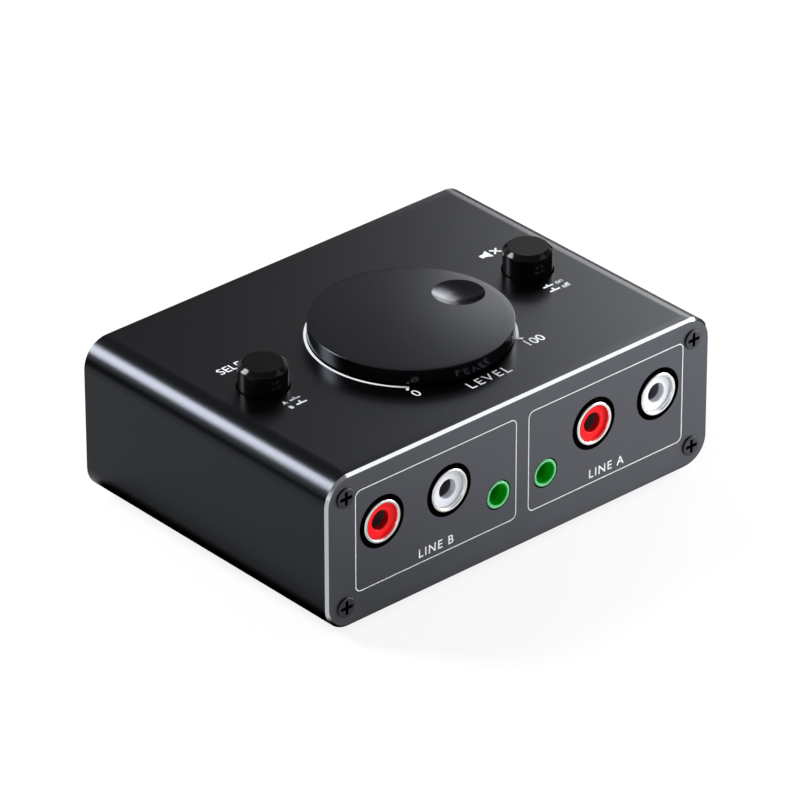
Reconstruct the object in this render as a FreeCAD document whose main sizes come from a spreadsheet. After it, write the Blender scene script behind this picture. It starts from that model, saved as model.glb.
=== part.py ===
import FreeCAD, Part
import math
import os
import re
import Sketcher

# Audio source selector: a flat aluminium box with phono and 3.5 mm sockets on its two ends,
# a wide level knob and two latching push buttons on its top.
# Row frame: +X to the right along the front panel, -Y out of the front panel, +Z up.
# The origin lies under the middle of the case, on the surface that the rubber feet stand on.

Vector = FreeCAD.Vector

SIZES = (
    ("case_width", 91.0, "case, side to side"),
    ("case_height", 30.6, "case, without its feet"),
    ("case_depth", 65.6, "front face of front panel to rear face of rear panel"),
    ("corner_radius", 5.3, "outer corner of the extrusion"),
    ("wall", 1.6, "wall of the extrusion"),
    ("plate_thickness", 2.0, "front and rear panel"),
    ("edge_chamfer", 0.55, "polished chamfer round each panel"),
    ("foot_height", 1.5, "rubber foot"),
    ("foot_diameter", 8.0, "rubber foot"),
    ("foot_inset", 10.0, "foot axis to the sides of the case"),
    ("screw_inset", 4.3, "panel screw axis to the edges of the case"),
    ("boss_diameter", 5.8, "screw channel of the extrusion"),
    ("channel_slot", 1.0, "slot that opens a screw channel to the inside"),
    ("screw_diameter", 2.8, "panel screw, shank"),
    ("screw_length", 8.0, "panel screw, under the head"),
    ("thread_gap", 0.05, "shank to screw channel, on the radius"),
    ("panel_hole_gap", 0.15, "shank to panel hole, on the radius"),
    ("head_diameter", 3.8, "panel screw head"),
    ("head_height", 0.35, "panel screw, thin head on the face of the panel"),
    ("board_thickness", 1.6, "main board"),
    ("board_seat", 6.0, "underside of the board above the floor of the extrusion"),
    ("board_side_gap", 0.2, "board edge to the wall"),
    ("board_end_gap", 0.3, "board edge to the panels"),
    ("groove_gap", 0.05, "board to the ribs of its groove"),
    ("rib_thickness", 1.2, "rib of the board groove"),
    ("rib_reach", 2.2, "rib of the board groove, out of the wall"),
    ("pin_stub", 1.5, "pins below the board"),
    ("pin_gap", 0.1, "pins in the holes of the board"),
    ("seat_gap", 0.02, "pieces pushed into each other, on the radius or the side"),
    ("jack_step", 11.6, "3.5 mm jack axis to the nearest phono socket axis"),
    ("socket_pitch", 15.6, "phono socket to phono socket"),
    ("socket_axis", 9.1, "phono socket axis above the board"),
    ("socket_hole", 10.25, "panel opening round a phono socket"),
    ("shell_diameter", 8.28, "phono socket shell, outside"),
    ("shell_bore", 7.0, "phono socket shell, inside"),
    ("lip_proud", 0.3, "shell lip in front of the panel"),
    ("shell_reach", 9.3, "shell, lip to housing"),
    ("tab_width", 3.0, "earth tab of the shell"),
    ("tab_thickness", 0.5, "earth tab and centre contact"),
    ("face_recess", 0.7, "coloured face behind the lip"),
    ("pin_bore", 3.8, "bore for the 3.2 mm centre pin of a phono plug"),
    ("leaf_width", 1.2, "centre contact, leaf that presses on the pin"),
    ("leaf_setback", 5.0, "start of the leaf behind the coloured face"),
    ("contact_width", 2.4, "centre contact, plate behind the housing"),
    ("tail_width", 6.4, "square tail of the insulator, in the housing"),
    ("housing_width", 11.0, "phono socket housing"),
    ("housing_depth", 9.0, "phono socket housing"),
    ("housing_rise", 5.8, "phono socket housing above its axis"),
    ("housing_slope", 2.5, "sloped top corner of the housing"),
    ("jack_reach", 5.6, "3.5 mm jack axis to the middle of the front panel"),
    ("jack_axis", 3.5, "3.5 mm jack axis above the board"),
    ("jack_hole", 5.8, "panel hole round a 3.5 mm jack"),
    ("nose_diameter", 5.25, "nose of the 3.5 mm jack"),
    ("nose_proud", 0.1, "nose in front of the panel"),
    ("nose_mouth", 4.2, "mouth of the nose"),
    ("nose_mouth_depth", 1.5, "mouth of the nose"),
    ("jack_bore", 3.6, "bore for a 3.5 mm plug"),
    ("jack_bore_depth", 14.5, "bore for a 3.5 mm plug, from the mouth"),
    ("jack_width", 6.6, "body of the 3.5 mm jack"),
    ("jack_rise", 3.1, "body of the 3.5 mm jack above its axis"),
    ("jack_depth", 13.2, "body of the 3.5 mm jack behind the nose"),
    ("jack_gap", 0.2, "body of the 3.5 mm jack to the back of the panel"),
    ("strip_thickness", 0.4, "contact strips of the jack"),
    ("strip_width", 1.2, "contact strips of the jack"),
    ("strip_rise", 2.0, "contact strips above the jack axis"),
    ("tip_strip_at", 5.0, "tip contact behind the nose"),
    ("ring_strip_at", 9.0, "ring contact behind the nose"),
    ("button_margin", 14.1, "push button axis to the side of the case"),
    ("button_setback", 32.8, "push button axis to the front face"),
    ("button_diameter", 9.1, "push button cap"),
    ("button_chamfer", 0.75, "edge of the push button cap"),
    ("button_rise", 4.8, "push button above the case, switched out"),
    ("button_travel", 2.5, "full press of the button"),
    ("cap_gap", 2.4, "cap to the roof of the switch, fully pressed"),
    ("button_gap", 0.3, "cap to its hole in the case, on the radius"),
    ("switch_width", 8.5, "push switch, square body"),
    ("switch_height", 9.3, "push switch, body above the board"),
    ("switch_wall", 1.0, "push switch housing"),
    ("switch_base", 1.2, "base plate of the push switch"),
    ("switch_pitch", 2.0, "pins of the push switch, along a row"),
    ("switch_row", 5.0, "pins of the push switch, row to row"),
    ("switch_pin", 0.6, "square pins of the push switch"),
    ("stem_width", 3.2, "square stem of the plunger"),
    ("stem_gap", 0.08, "stem to its guide, on the side"),
    ("stem_socket", 5.0, "stem inside the cap"),
    ("collar_width", 6.0, "collar that keeps the plunger in the housing"),
    ("collar_height", 2.5, "collar of the plunger"),
    ("stop_gap", 0.05, "collar to the roof of the housing, switched out"),
    ("spring_diameter", 3.4, "return spring, middle of the wire"),
    ("spring_wire", 0.4, "return spring wire"),
    ("spring_turns", 3.0, "return spring"),
    ("spring_end_gap", 0.1, "spring to its two seats"),
    ("knob_setback", 29.2, "knob axis to the front face"),
    ("knob_diameter", 37.0, "level knob"),
    ("knob_rise", 3.55, "top of the knob above the case"),
    ("knob_gap", 0.4, "underside of the knob to the case"),
    ("knob_chamfer", 0.3, "upper edge of the knob"),
    ("dimple_reach", 12.6, "finger dimple to the knob axis"),
    ("dimple_diameter", 10.2, "finger dimple"),
    ("dimple_depth", 1.2, "finger dimple"),
    ("dimple_angle", 5.0, "finger dimple, turned from the right-hand side"),
    ("hub_diameter", 10.0, "hub of the knob"),
    ("hub_drop", 5.4, "hub below the top of the case"),
    ("hub_gap", 0.5, "hub to its hole in the case, on the radius"),
    ("knob_web", 1.9, "top of the knob above the end of its socket"),
    ("shaft_diameter", 6.0, "potentiometer shaft"),
    ("shaft_flat", 4.5, "shaft across its flat"),
    ("shaft_end_gap", 0.1, "shaft end to the end of the socket"),
    ("flat_run_out", 0.4, "flat of the shaft below the hub of the knob"),
    ("spigot_width", 3.2, "square lower end of the shaft"),
    ("shaft_gap", 0.03, "shaft in its bushing, on the radius"),
    ("bushing_diameter", 7.0, "potentiometer bushing"),
    ("bushing_gap", 1.5, "end of the bushing to the hub of the knob"),
    ("flange_thickness", 0.8, "flange of the bushing"),
    ("pot_width", 12.5, "potentiometer, square body"),
    ("pot_height", 8.5, "potentiometer body above the board"),
    ("pot_base", 1.5, "base plate of the potentiometer"),
    ("pot_roof", 1.2, "roof of the potentiometer housing"),
    ("pot_cavity", 10.8, "square cavity of the potentiometer"),
    ("rotor_diameter", 10.0, "wiper carrier"),
    ("rotor_thickness", 1.5, "wiper carrier"),
    ("rotor_lift", 1.2, "wiper carrier above the base plate"),
    ("terminal_pitch", 2.5, "potentiometer terminals, side by side"),
    ("terminal_row", 3.0, "potentiometer terminals, row to row"),
    ("terminal_width", 0.8, "potentiometer terminals"),
)

doc = FreeCAD.newDocument("AudioSourceSelector")
sheet = doc.addObject("Spreadsheet::Sheet", "sizes")
for row, (alias, value, note) in enumerate(SIZES, start=1):
    sheet.set("A%d" % row, note)
    sheet.set("B%d" % row, str(value))
    sheet.setAlias("B%d" % row, alias)
doc.recompute()
ALIASES = {alias for alias, value, note in SIZES}

# Levels and places that several pieces share, as formulas of the sizes.
BOARD_TOP_LEVEL = "(foot_height + wall + board_seat + board_thickness)"
CASE_TOP_LEVEL = "(foot_height + case_height)"
TOP_ABOVE_BOARD = "(case_height - wall - board_seat - board_thickness)"
MIDDLE_LEVEL = "(foot_height + case_height/2)"
SLEEVE_LENGTH = "(case_depth - 2*plate_thickness)"
SOCKET_RISE = "(wall + board_seat + board_thickness + socket_axis - case_height/2)"
JACK_RISE = "(wall + board_seat + board_thickness + jack_axis - case_height/2)"
SCREW_X = "(case_width/2 - screw_inset)"
SCREW_Y = "(case_height/2 - screw_inset)"
PIN_REACH = "(board_thickness + pin_stub)"
BUTTON_X = "(case_width/2 - button_margin)"
BUTTON_Y = "(button_setback - case_depth/2)"
KNOB_Y = "(knob_setback - case_depth/2)"
SHELL_END = "(lip_proud - shell_reach)"
HOUSING_END = "(lip_proud - shell_reach - housing_depth)"
FACE = "(lip_proud - face_recess)"
NOSE_END = "(-plate_thickness - jack_gap)"
JACK_END = "(-plate_thickness - jack_gap - jack_depth)"
CAP_BOTTOM = "(switch_height + button_travel + cap_gap - %s)" % TOP_ABOVE_BOARD
OUTER_X = "(jack_reach + jack_step + socket_pitch)"
INNER_X = "(jack_reach + jack_step)"
REAR_FIRST_X = "(-(socket_pitch + jack_step)/2)"
REAR_SECOND_X = "((socket_pitch - jack_step)/2)"
REAR_JACK_X = "((socket_pitch + jack_step)/2)"

# Phono sockets: name, panel, place along the panel as a viewer of that panel sees it.
SOCKETS = (
    ("b_red_socket", "front", "-" + OUTER_X),
    ("b_white_socket", "front", "-" + INNER_X),
    ("a_red_socket", "front", INNER_X),
    ("a_white_socket", "front", OUTER_X),
    ("out_red_socket", "rear", REAR_FIRST_X),
    ("out_white_socket", "rear", REAR_SECOND_X),
)
JACKS = (
    ("b_jack", "front", "-jack_reach"),
    ("a_jack", "front", "jack_reach"),
    ("out_jack", "rear", REAR_JACK_X),
)
BUTTONS = (("select", "-" + BUTTON_X), ("mute", BUTTON_X))

# A piece that faces forward or back is drawn as its viewer sees it: x right, y up, z towards the viewer.
TURNS = {
    "up": FreeCAD.Rotation(),
    "front": FreeCAD.Rotation(Vector(1, 0, 0), 90),
    "rear": FreeCAD.Rotation(Vector(0, 0, 1), 180).multiply(FreeCAD.Rotation(Vector(1, 0, 0), 90)),
}
SIDE = {"front": "", "rear": "-"}
OUTWARD = {"front": "-", "rear": ""}


def named(text):
    """Writes the sheet's name before each size in a formula."""
    return re.sub(r"[a-z_]+", lambda word: "sizes." + word.group() if word.group() in ALIASES else word.group(), text)


def number(text):
    """The value of a formula now."""
    return float(sheet.evalExpression(named(text)))


def bind(thing, field, text):
    thing.setExpression(field, named(text))


def place(thing, facing, across, along, level):
    """Puts a piece at its place in the row frame and ties the place to the sizes."""
    thing.Placement = FreeCAD.Placement(Vector(number(across), number(along), number(level)), TURNS[facing])
    for axis, text in zip("xyz", (across, along, level)):
        bind(thing, "Placement.Base." + axis, text)


def new_body(name, facing="up", across="0", along="0", level="0"):
    body = doc.addObject("PartDesign::Body", name)
    body.Label = name
    place(body, facing, across, along, level)
    return body


def turn_with_dimple(body):
    """Turns a piece of the level control about its own axis as far as the finger dimple is turned."""
    body.Placement.Rotation = FreeCAD.Rotation(Vector(0, 0, 1), number("dimple_angle"))
    bind(body, "Placement.Rotation.Angle", "dimple_angle")


def new_sketch(body, plane="XY_Plane", lift="0", shift="0"):
    """A sketch on one of the body's own planes, lifted along its normal and shifted along its x."""
    sketch = body.newObject("Sketcher::SketchObject", body.Name + "_sketch")
    support = [item for item in body.Origin.OriginFeatures if item.Role == plane]
    sketch.AttachmentSupport = [(support[0], "")]
    sketch.MapMode = "FlatFace"
    sketch.AttachmentOffset = FreeCAD.Placement(Vector(number(shift), 0, number(lift)), FreeCAD.Rotation())
    bind(sketch, "AttachmentOffset.Base.x", shift)
    bind(sketch, "AttachmentOffset.Base.z", lift)
    return sketch


def hold(sketch, kind, edge, point, text):
    """Keeps one coordinate of a sketch point at a formula."""
    if text == "0":
        axis = -2 if kind == "DistanceX" else -1
        sketch.addConstraint(Sketcher.Constraint("PointOnObject", edge, point, axis))
        return
    index = sketch.addConstraint(Sketcher.Constraint(kind, -1, 1, edge, point, number(text)))
    bind(sketch, "Constraints[%d]" % index, text)


def outline(sketch, corners):
    """A closed outline. A corner is x, y. Where an arc leaves it, the arc's centre and turn follow."""
    spots = [Vector(number(corner[0]), number(corner[1]), 0) for corner in corners]
    edges = []
    for here, corner in enumerate(corners):
        start = spots[here]
        end = spots[(here + 1) % len(spots)]
        if len(corner) == 2:
            edge = sketch.addGeometry(Part.LineSegment(start, end), False)
            edges.append((edge, 1, 2))
            continue
        centre = Vector(number(corner[2]), number(corner[3]), 0)
        first, last = (start, end) if corner[4] > 0 else (end, start)
        angles = [math.atan2(spot.y - centre.y, spot.x - centre.x) for spot in (first, last)]
        circle = Part.Circle(centre, Vector(0, 0, 1), (start - centre).Length)
        edge = sketch.addGeometry(Part.ArcOfCircle(circle, angles[0], angles[1]), False)
        edges.append((edge, 1, 2) if corner[4] > 0 else (edge, 2, 1))
    for here, (edge, first, last) in enumerate(edges):
        after, after_first, after_last = edges[(here + 1) % len(edges)]
        sketch.addConstraint(Sketcher.Constraint("Coincident", edge, last, after, after_first))
    for here, corner in enumerate(corners):
        edge, first, last = edges[here]
        hold(sketch, "DistanceX", edge, first, corner[0])
        hold(sketch, "DistanceY", edge, first, corner[1])
        if len(corner) == 5:
            chord = spots[(here + 1) % len(spots)] - spots[here]
            if abs(chord.y) >= abs(chord.x):
                hold(sketch, "DistanceX", edge, 3, corner[2])
            else:
                hold(sketch, "DistanceY", edge, 3, corner[3])


def rectangle(sketch, left, right, low, high):
    outline(sketch, ((left, low), (right, low), (right, high), (left, high)))


def centred(sketch, width, low, high):
    """A rectangle whose middle lies on the sketch's y axis."""
    rectangle(sketch, "-%s/2" % width, "%s/2" % width, low, high)


def circle(sketch, across, up, diameter):
    middle = Vector(number(across), number(up), 0)
    edge = sketch.addGeometry(Part.Circle(middle, Vector(0, 0, 1), number(diameter) / 2), False)
    hold(sketch, "DistanceX", edge, 3, across)
    hold(sketch, "DistanceY", edge, 3, up)
    index = sketch.addConstraint(Sketcher.Constraint("Diameter", edge, number(diameter)))
    bind(sketch, "Constraints[%d]" % index, diameter)


def rounded(sketch, width, height, radius):
    """A rectangle about the sketch's origin with rounded corners."""
    right = "(%s)/2" % width
    top = "(%s)/2" % height
    inner_x = "(%s - %s)" % (right, radius)
    inner_y = "(%s - %s)" % (top, radius)
    outline(sketch, (
        ("-" + inner_x, "-" + top),
        (inner_x, "-" + top, inner_x, "-" + inner_y, 1),
        (right, "-" + inner_y),
        (right, inner_y, inner_x, inner_y, 1),
        (inner_x, top),
        ("-" + inner_x, top, "-" + inner_x, inner_y, 1),
        ("-" + right, inner_y),
        ("-" + right, "-" + inner_y, "-" + inner_x, "-" + inner_y, 1),
    ))


def pad(body, sketch, length, down=False):
    feature = body.newObject("PartDesign::Pad", body.Name + "_pad")
    feature.Profile = sketch
    feature.Reversed = down
    bind(feature, "Length", length)
    body.Tip = feature
    return feature


def pocket(body, sketch, depth=None, up=False):
    """A cut against the sketch's normal, or along it where up is set. Without a depth it goes right through."""
    feature = body.newObject("PartDesign::Pocket", body.Name + "_pocket")
    feature.Profile = sketch
    feature.Reversed = up
    if depth is None:
        feature.Type = "ThroughAll"
    else:
        bind(feature, "Length", depth)
    body.Tip = feature
    return feature


def turned(body, corners, kind="Revolution", shift="0"):
    """A turned form: its half section is drawn as radius, height and goes once round the z axis."""
    sketch = new_sketch(body, "XZ_Plane", shift=shift)
    outline(sketch, corners)
    feature = body.newObject("PartDesign::" + kind, body.Name + "_turn")
    feature.Profile = sketch
    feature.ReferenceAxis = (sketch, ["V_Axis"])
    feature.Angle = 360
    body.Tip = feature
    return feature


def case_sleeve():
    """Extruded tube with four slotted screw channels and the groove that the board slides in."""
    body = new_body("case_sleeve", "front", "0", "-case_depth/2", MIDDLE_LEVEL)
    start = "-plate_thickness"
    skin = new_sketch(body, lift=start)
    rounded(skin, "case_width", "case_height", "corner_radius")
    pad(body, skin, SLEEVE_LENGTH, down=True)
    hollow = new_sketch(body, lift=start)
    rounded(hollow, "(case_width - 2*wall)", "(case_height - 2*wall)", "(corner_radius - wall)")
    pocket(body, hollow)
    bosses = new_sketch(body, lift=start)
    bores = new_sketch(body, lift=start)
    slots = new_sketch(body, lift=start)
    for x_sign in ("", "-"):
        for y_sign in ("", "-"):
            circle(bosses, x_sign + SCREW_X, y_sign + SCREW_Y, "boss_diameter")
            circle(bores, x_sign + SCREW_X, y_sign + SCREW_Y, "(screw_diameter + 2*thread_gap)")
            rectangle(
                slots,
                x_sign + "(case_width/2 - screw_inset - boss_diameter)", x_sign + SCREW_X,
                y_sign + "(case_height/2 - screw_inset) - channel_slot/2",
                y_sign + "(case_height/2 - screw_inset) + channel_slot/2",
            )
    pad(body, bosses, SLEEVE_LENGTH, down=True)
    ribs = new_sketch(body, lift=start)
    floor = "(wall - case_height/2 + board_seat)"
    for x_sign in ("", "-"):
        outer = x_sign + "(case_width/2 - wall/2)"
        inner = x_sign + "(case_width/2 - wall - rib_reach)"
        rectangle(ribs, inner, outer, floor + " - groove_gap - rib_thickness", floor + " - groove_gap")
        above = floor + " + board_thickness + groove_gap"
        rectangle(ribs, inner, outer, above, above + " + rib_thickness")
    pad(body, ribs, SLEEVE_LENGTH, down=True)
    pocket(body, bores)
    pocket(body, slots)
    # Seen from above, the holes for the knob's hub and the two caps; the cut goes up from mid height.
    holes = new_sketch(body, "XZ_Plane")
    circle(holes, "0", "-knob_setback", "(hub_diameter + 2*hub_gap)")
    for name, across in BUTTONS:
        circle(holes, across, "-button_setback", "(button_diameter + 2*button_gap)")
    pocket(body, holes)
    return body


def end_panel(side):
    """Flat plate with a polished chamfer, socket openings and screw holes."""
    body = new_body(side + "_panel", side, "0", OUTWARD[side] + "case_depth/2", MIDDLE_LEVEL)
    skin = new_sketch(body)
    rounded(skin, "case_width", "case_height", "corner_radius")
    plate = pad(body, skin, "plate_thickness", down=True)
    doc.recompute()
    front = max(plate.Shape.Faces, key=lambda face: face.CenterOfMass.z)
    rim = [
        "Edge%d" % (index + 1) for index, edge in enumerate(plate.Shape.Edges)
        if any(edge.isSame(other) for other in front.OuterWire.Edges)
    ]
    chamfer = body.newObject("PartDesign::Chamfer", body.Name + "_chamfer")
    chamfer.Base = (plate, rim)
    bind(chamfer, "Size", "edge_chamfer")
    body.Tip = chamfer
    openings = new_sketch(body)
    for name, panel, across in SOCKETS:
        if panel == side:
            circle(openings, across, SOCKET_RISE, "socket_hole")
    for name, panel, across in JACKS:
        if panel == side:
            circle(openings, across, JACK_RISE, "jack_hole")
    for x_sign in ("", "-"):
        for y_sign in ("", "-"):
            circle(openings, x_sign + SCREW_X, y_sign + SCREW_Y, "(screw_diameter + 2*panel_hole_gap)")
    pocket(body, openings)
    return body


def panel_screws(side):
    """Four thin-head screws of one panel, in one node."""
    screws = []
    for x_sign in ("", "-"):
        for y_sign in ("", "-"):
            level = MIDDLE_LEVEL + (" + " if y_sign == "" else " - ") + SCREW_Y
            body = new_body(side + "_screw", side, x_sign + SCREW_X, OUTWARD[side] + "case_depth/2", level)
            turned(body, (
                ("0", "-screw_length"),
                ("screw_diameter/2", "-screw_length"),
                ("screw_diameter/2", "0"),
                ("head_diameter/2", "0"),
                ("head_diameter/2", "head_height"),
                ("0", "head_height"),
            ))
            screws.append(body)
    group = doc.addObject("Part::Compound", side + "_panel_screws")
    group.Label = side + "_panel_screws"
    group.Links = screws
    return group


def rubber_foot(name, x_sign, y_sign):
    body = new_body(
        name, "up", x_sign + "(case_width/2 - foot_inset)", y_sign + "(case_depth/2 - foot_inset)", "0")
    disc = new_sketch(body)
    circle(disc, "0", "0", "foot_diameter")
    pad(body, disc, "foot_height")
    return body


def board_slot(sketch, across, along, width, depth):
    """A rectangular hole of the board with pin clearance on each side, about its middle."""
    rectangle(
        sketch,
        "%s - %s/2 - pin_gap" % (across, width), "%s + %s/2 + pin_gap" % (across, width),
        "%s - %s/2 - pin_gap" % (along, depth), "%s + %s/2 + pin_gap" % (along, depth),
    )


def main_board():
    """Circuit board with a hole for each pin, tab and terminal that is soldered into it."""
    body = new_body("main_board", "up", "0", "0", BOARD_TOP_LEVEL + " - board_thickness")
    skin = new_sketch(body)
    half_x = "(case_width/2 - wall - board_side_gap)"
    half_y = "(case_depth/2 - plate_thickness - board_end_gap)"
    rectangle(skin, "-" + half_x, half_x, "-" + half_y, half_y)
    pad(body, skin, "board_thickness")
    for name, side, across in SOCKETS:
        sketch = new_sketch(body)
        middle = SIDE[side] + "(" + across + ")"
        for offset, width in (
            (SHELL_END + " + tab_thickness/2", "tab_width"),
            (HOUSING_END + " - tab_thickness/2", "contact_width"),
        ):
            board_slot(sketch, middle, OUTWARD[side] + "(case_depth/2 + %s)" % offset, width, "tab_thickness")
        pocket(body, sketch, up=True)
    for name, side, across in JACKS:
        sketch = new_sketch(body)
        for strip, offset, sizes in jack_strips():
            middle = SIDE[side] + "(" + across + " + " + strip + ")"
            along = OUTWARD[side] + "(case_depth/2 + %s)" % offset
            board_slot(sketch, middle, along, sizes[0], sizes[1])
        pocket(body, sketch, up=True)
    for name, across in BUTTONS:
        sketch = new_sketch(body)
        for column, row in switch_pins():
            board_slot(sketch, across + " + " + column, BUTTON_Y + " + " + row, "switch_pin", "switch_pin")
        pocket(body, sketch, up=True)
    sketch = new_sketch(body)
    for column, row in pot_terminals():
        board_slot(sketch, column, KNOB_Y + " + " + row, "terminal_width", "terminal_width")
    pocket(body, sketch, up=True)
    return body


def jack_strips():
    """Middle and sizes of the tip, ring and sleeve strips of a jack: across, outwards, (width, depth)."""
    side = "(jack_width/2 - strip_thickness/2)"
    flat = ("strip_thickness", "strip_width")
    return (
        ("-" + side, "(%s - tip_strip_at)" % NOSE_END, flat),
        (side, "(%s - ring_strip_at)" % NOSE_END, flat),
        ("0", "(%s - strip_thickness/2)" % JACK_END, ("strip_width", "strip_thickness")),
    )


def switch_pins():
    """Middles of the six pins of a push switch, from its axis."""
    return [
        (column + "switch_pitch", row + "switch_row/2")
        for column in ("-", "0*", "")
        for row in ("-", "")
    ]


def pot_terminals():
    """Middles of the six terminals of the potentiometer, from its axis, behind its body's middle."""
    return [
        (column + "terminal_pitch", "(pot_width/2 - 1.5*terminal_width - %s*terminal_row)" % row)
        for column in ("-", "0*", "")
        for row in ("0", "1")
    ]


def phono_socket(name, side, across):
    """Housing, shell, coloured insulator and centre contact of one phono socket."""
    spot = (side, SIDE[side] + "(" + across + ")", OUTWARD[side] + "case_depth/2",
            MIDDLE_LEVEL + " + " + SOCKET_RISE)
    shell = new_body(name + "_shell", *spot)
    turned(shell, (
        ("shell_bore/2", SHELL_END),
        ("shell_diameter/2", SHELL_END),
        ("shell_diameter/2", "lip_proud"),
        ("shell_bore/2", "lip_proud"),
    ))
    tab = new_sketch(shell, lift=SHELL_END)
    centred(tab, "tab_width", "-(socket_axis + %s)" % PIN_REACH, "-(shell_diameter + shell_bore)/4")
    pad(shell, tab, "tab_thickness")

    insulator = new_body(name + "_insulator", *spot)
    face = new_sketch(insulator, lift=FACE)
    circle(face, "0", "0", "(shell_bore - 2*seat_gap)")
    pad(insulator, face, "(%s - %s)" % (FACE, SHELL_END), down=True)
    tail = new_sketch(insulator, lift=SHELL_END)
    centred(tail, "tail_width", "-tail_width/2", "tail_width/2")
    pad(insulator, tail, "housing_depth", down=True)
    bore = new_sketch(insulator, lift=FACE)
    circle(bore, "0", "0", "pin_bore")
    pocket(insulator, bore)
    leaf_slot = new_sketch(insulator, lift=HOUSING_END)
    leaf_start = "(%s - leaf_setback)" % FACE
    leaf_low = "pin_bore/2"
    leaf_high = "(pin_bore/2 + tab_thickness)"
    centred(leaf_slot, "(leaf_width + 2*pin_gap)", "0", leaf_high + " + pin_gap")
    pocket(insulator, leaf_slot, "(%s - %s)" % (leaf_start, HOUSING_END) + " + pin_gap", up=True)

    contact = new_body(name + "_contact", *spot)
    plate = new_sketch(contact, lift=HOUSING_END)
    centred(plate, "contact_width", "-(socket_axis + %s)" % PIN_REACH, leaf_high)
    pad(contact, plate, "tab_thickness", down=True)
    leaf = new_sketch(contact, lift=HOUSING_END)
    centred(leaf, "leaf_width", leaf_low, leaf_high)
    pad(contact, leaf, "(%s - %s)" % (leaf_start, HOUSING_END))

    housing = new_body(name + "_housing", *spot)
    block = new_sketch(housing, lift=SHELL_END)
    outline(block, (
        ("-housing_width/2", "-socket_axis"),
        ("housing_width/2", "-socket_axis"),
        ("housing_width/2", "housing_rise - housing_slope"),
        ("housing_width/2 - housing_slope", "housing_rise"),
        ("housing_slope - housing_width/2", "housing_rise"),
        ("-housing_width/2", "housing_rise - housing_slope"),
    ))
    pad(housing, block, "housing_depth", down=True)
    window = new_sketch(housing, lift=SHELL_END)
    centred(window, "(tail_width + 2*seat_gap)", "-tail_width/2 - seat_gap", "tail_width/2 + seat_gap")
    pocket(housing, window)
    return [shell, insulator, contact, housing]


def mini_jack(name, side, across):
    """Body and contact strips of one 3.5 mm jack."""
    spot = (side, SIDE[side] + "(" + across + ")", OUTWARD[side] + "case_depth/2",
            MIDDLE_LEVEL + " + " + JACK_RISE)
    body = new_body(name + "_body", *spot)
    block = new_sketch(body, lift=NOSE_END)
    centred(block, "jack_width", "-jack_axis", "jack_rise")
    pad(body, block, "jack_depth", down=True)
    nose = new_sketch(body, lift="nose_proud")
    circle(nose, "0", "0", "nose_diameter")
    pad(body, nose, "(nose_proud - %s)" % NOSE_END, down=True)
    turned(body, (
        ("0", "nose_proud - jack_bore_depth"),
        ("jack_bore/2", "nose_proud - jack_bore_depth"),
        ("jack_bore/2", "nose_proud - nose_mouth_depth"),
        ("nose_mouth/2", "nose_proud - nose_mouth_depth"),
        ("nose_mouth/2", "nose_proud"),
        ("0", "nose_proud"),
    ), kind="Groove")
    slots = new_sketch(body, "XZ_Plane", lift="jack_axis")
    for middle, offset, sizes in jack_strips()[:2]:
        outer = middle.replace("jack_width/2 - strip_thickness/2", "jack_width/2 + strip_thickness")
        inner = middle.replace("jack_width/2 - strip_thickness/2", "jack_width/2 - strip_thickness - seat_gap")
        half = "(strip_width/2 + seat_gap)"
        rectangle(slots, inner, outer, "%s - %s" % (offset, half), "%s + %s" % (offset, half))
    pocket(body, slots, "(jack_axis + strip_rise + seat_gap)")

    strips = []
    for kind, (middle, offset, sizes) in zip(("tip", "ring", "sleeve"), jack_strips()):
        strip = new_body(name + "_" + kind, *spot)
        sketch = new_sketch(strip, "XZ_Plane", lift="(jack_axis + %s)" % PIN_REACH)
        rectangle(
            sketch,
            "%s - %s/2" % (middle, sizes[0]), "%s + %s/2" % (middle, sizes[0]),
            "%s - %s/2" % (offset, sizes[1]), "%s + %s/2" % (offset, sizes[1]),
        )
        pad(strip, sketch, "(jack_axis + %s + strip_rise)" % PIN_REACH, down=True)
        strips.append(strip)
    contacts = doc.addObject("Part::Compound", name + "_contacts")
    contacts.Label = name + "_contacts"
    contacts.Links = strips
    return [body, contacts]


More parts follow.
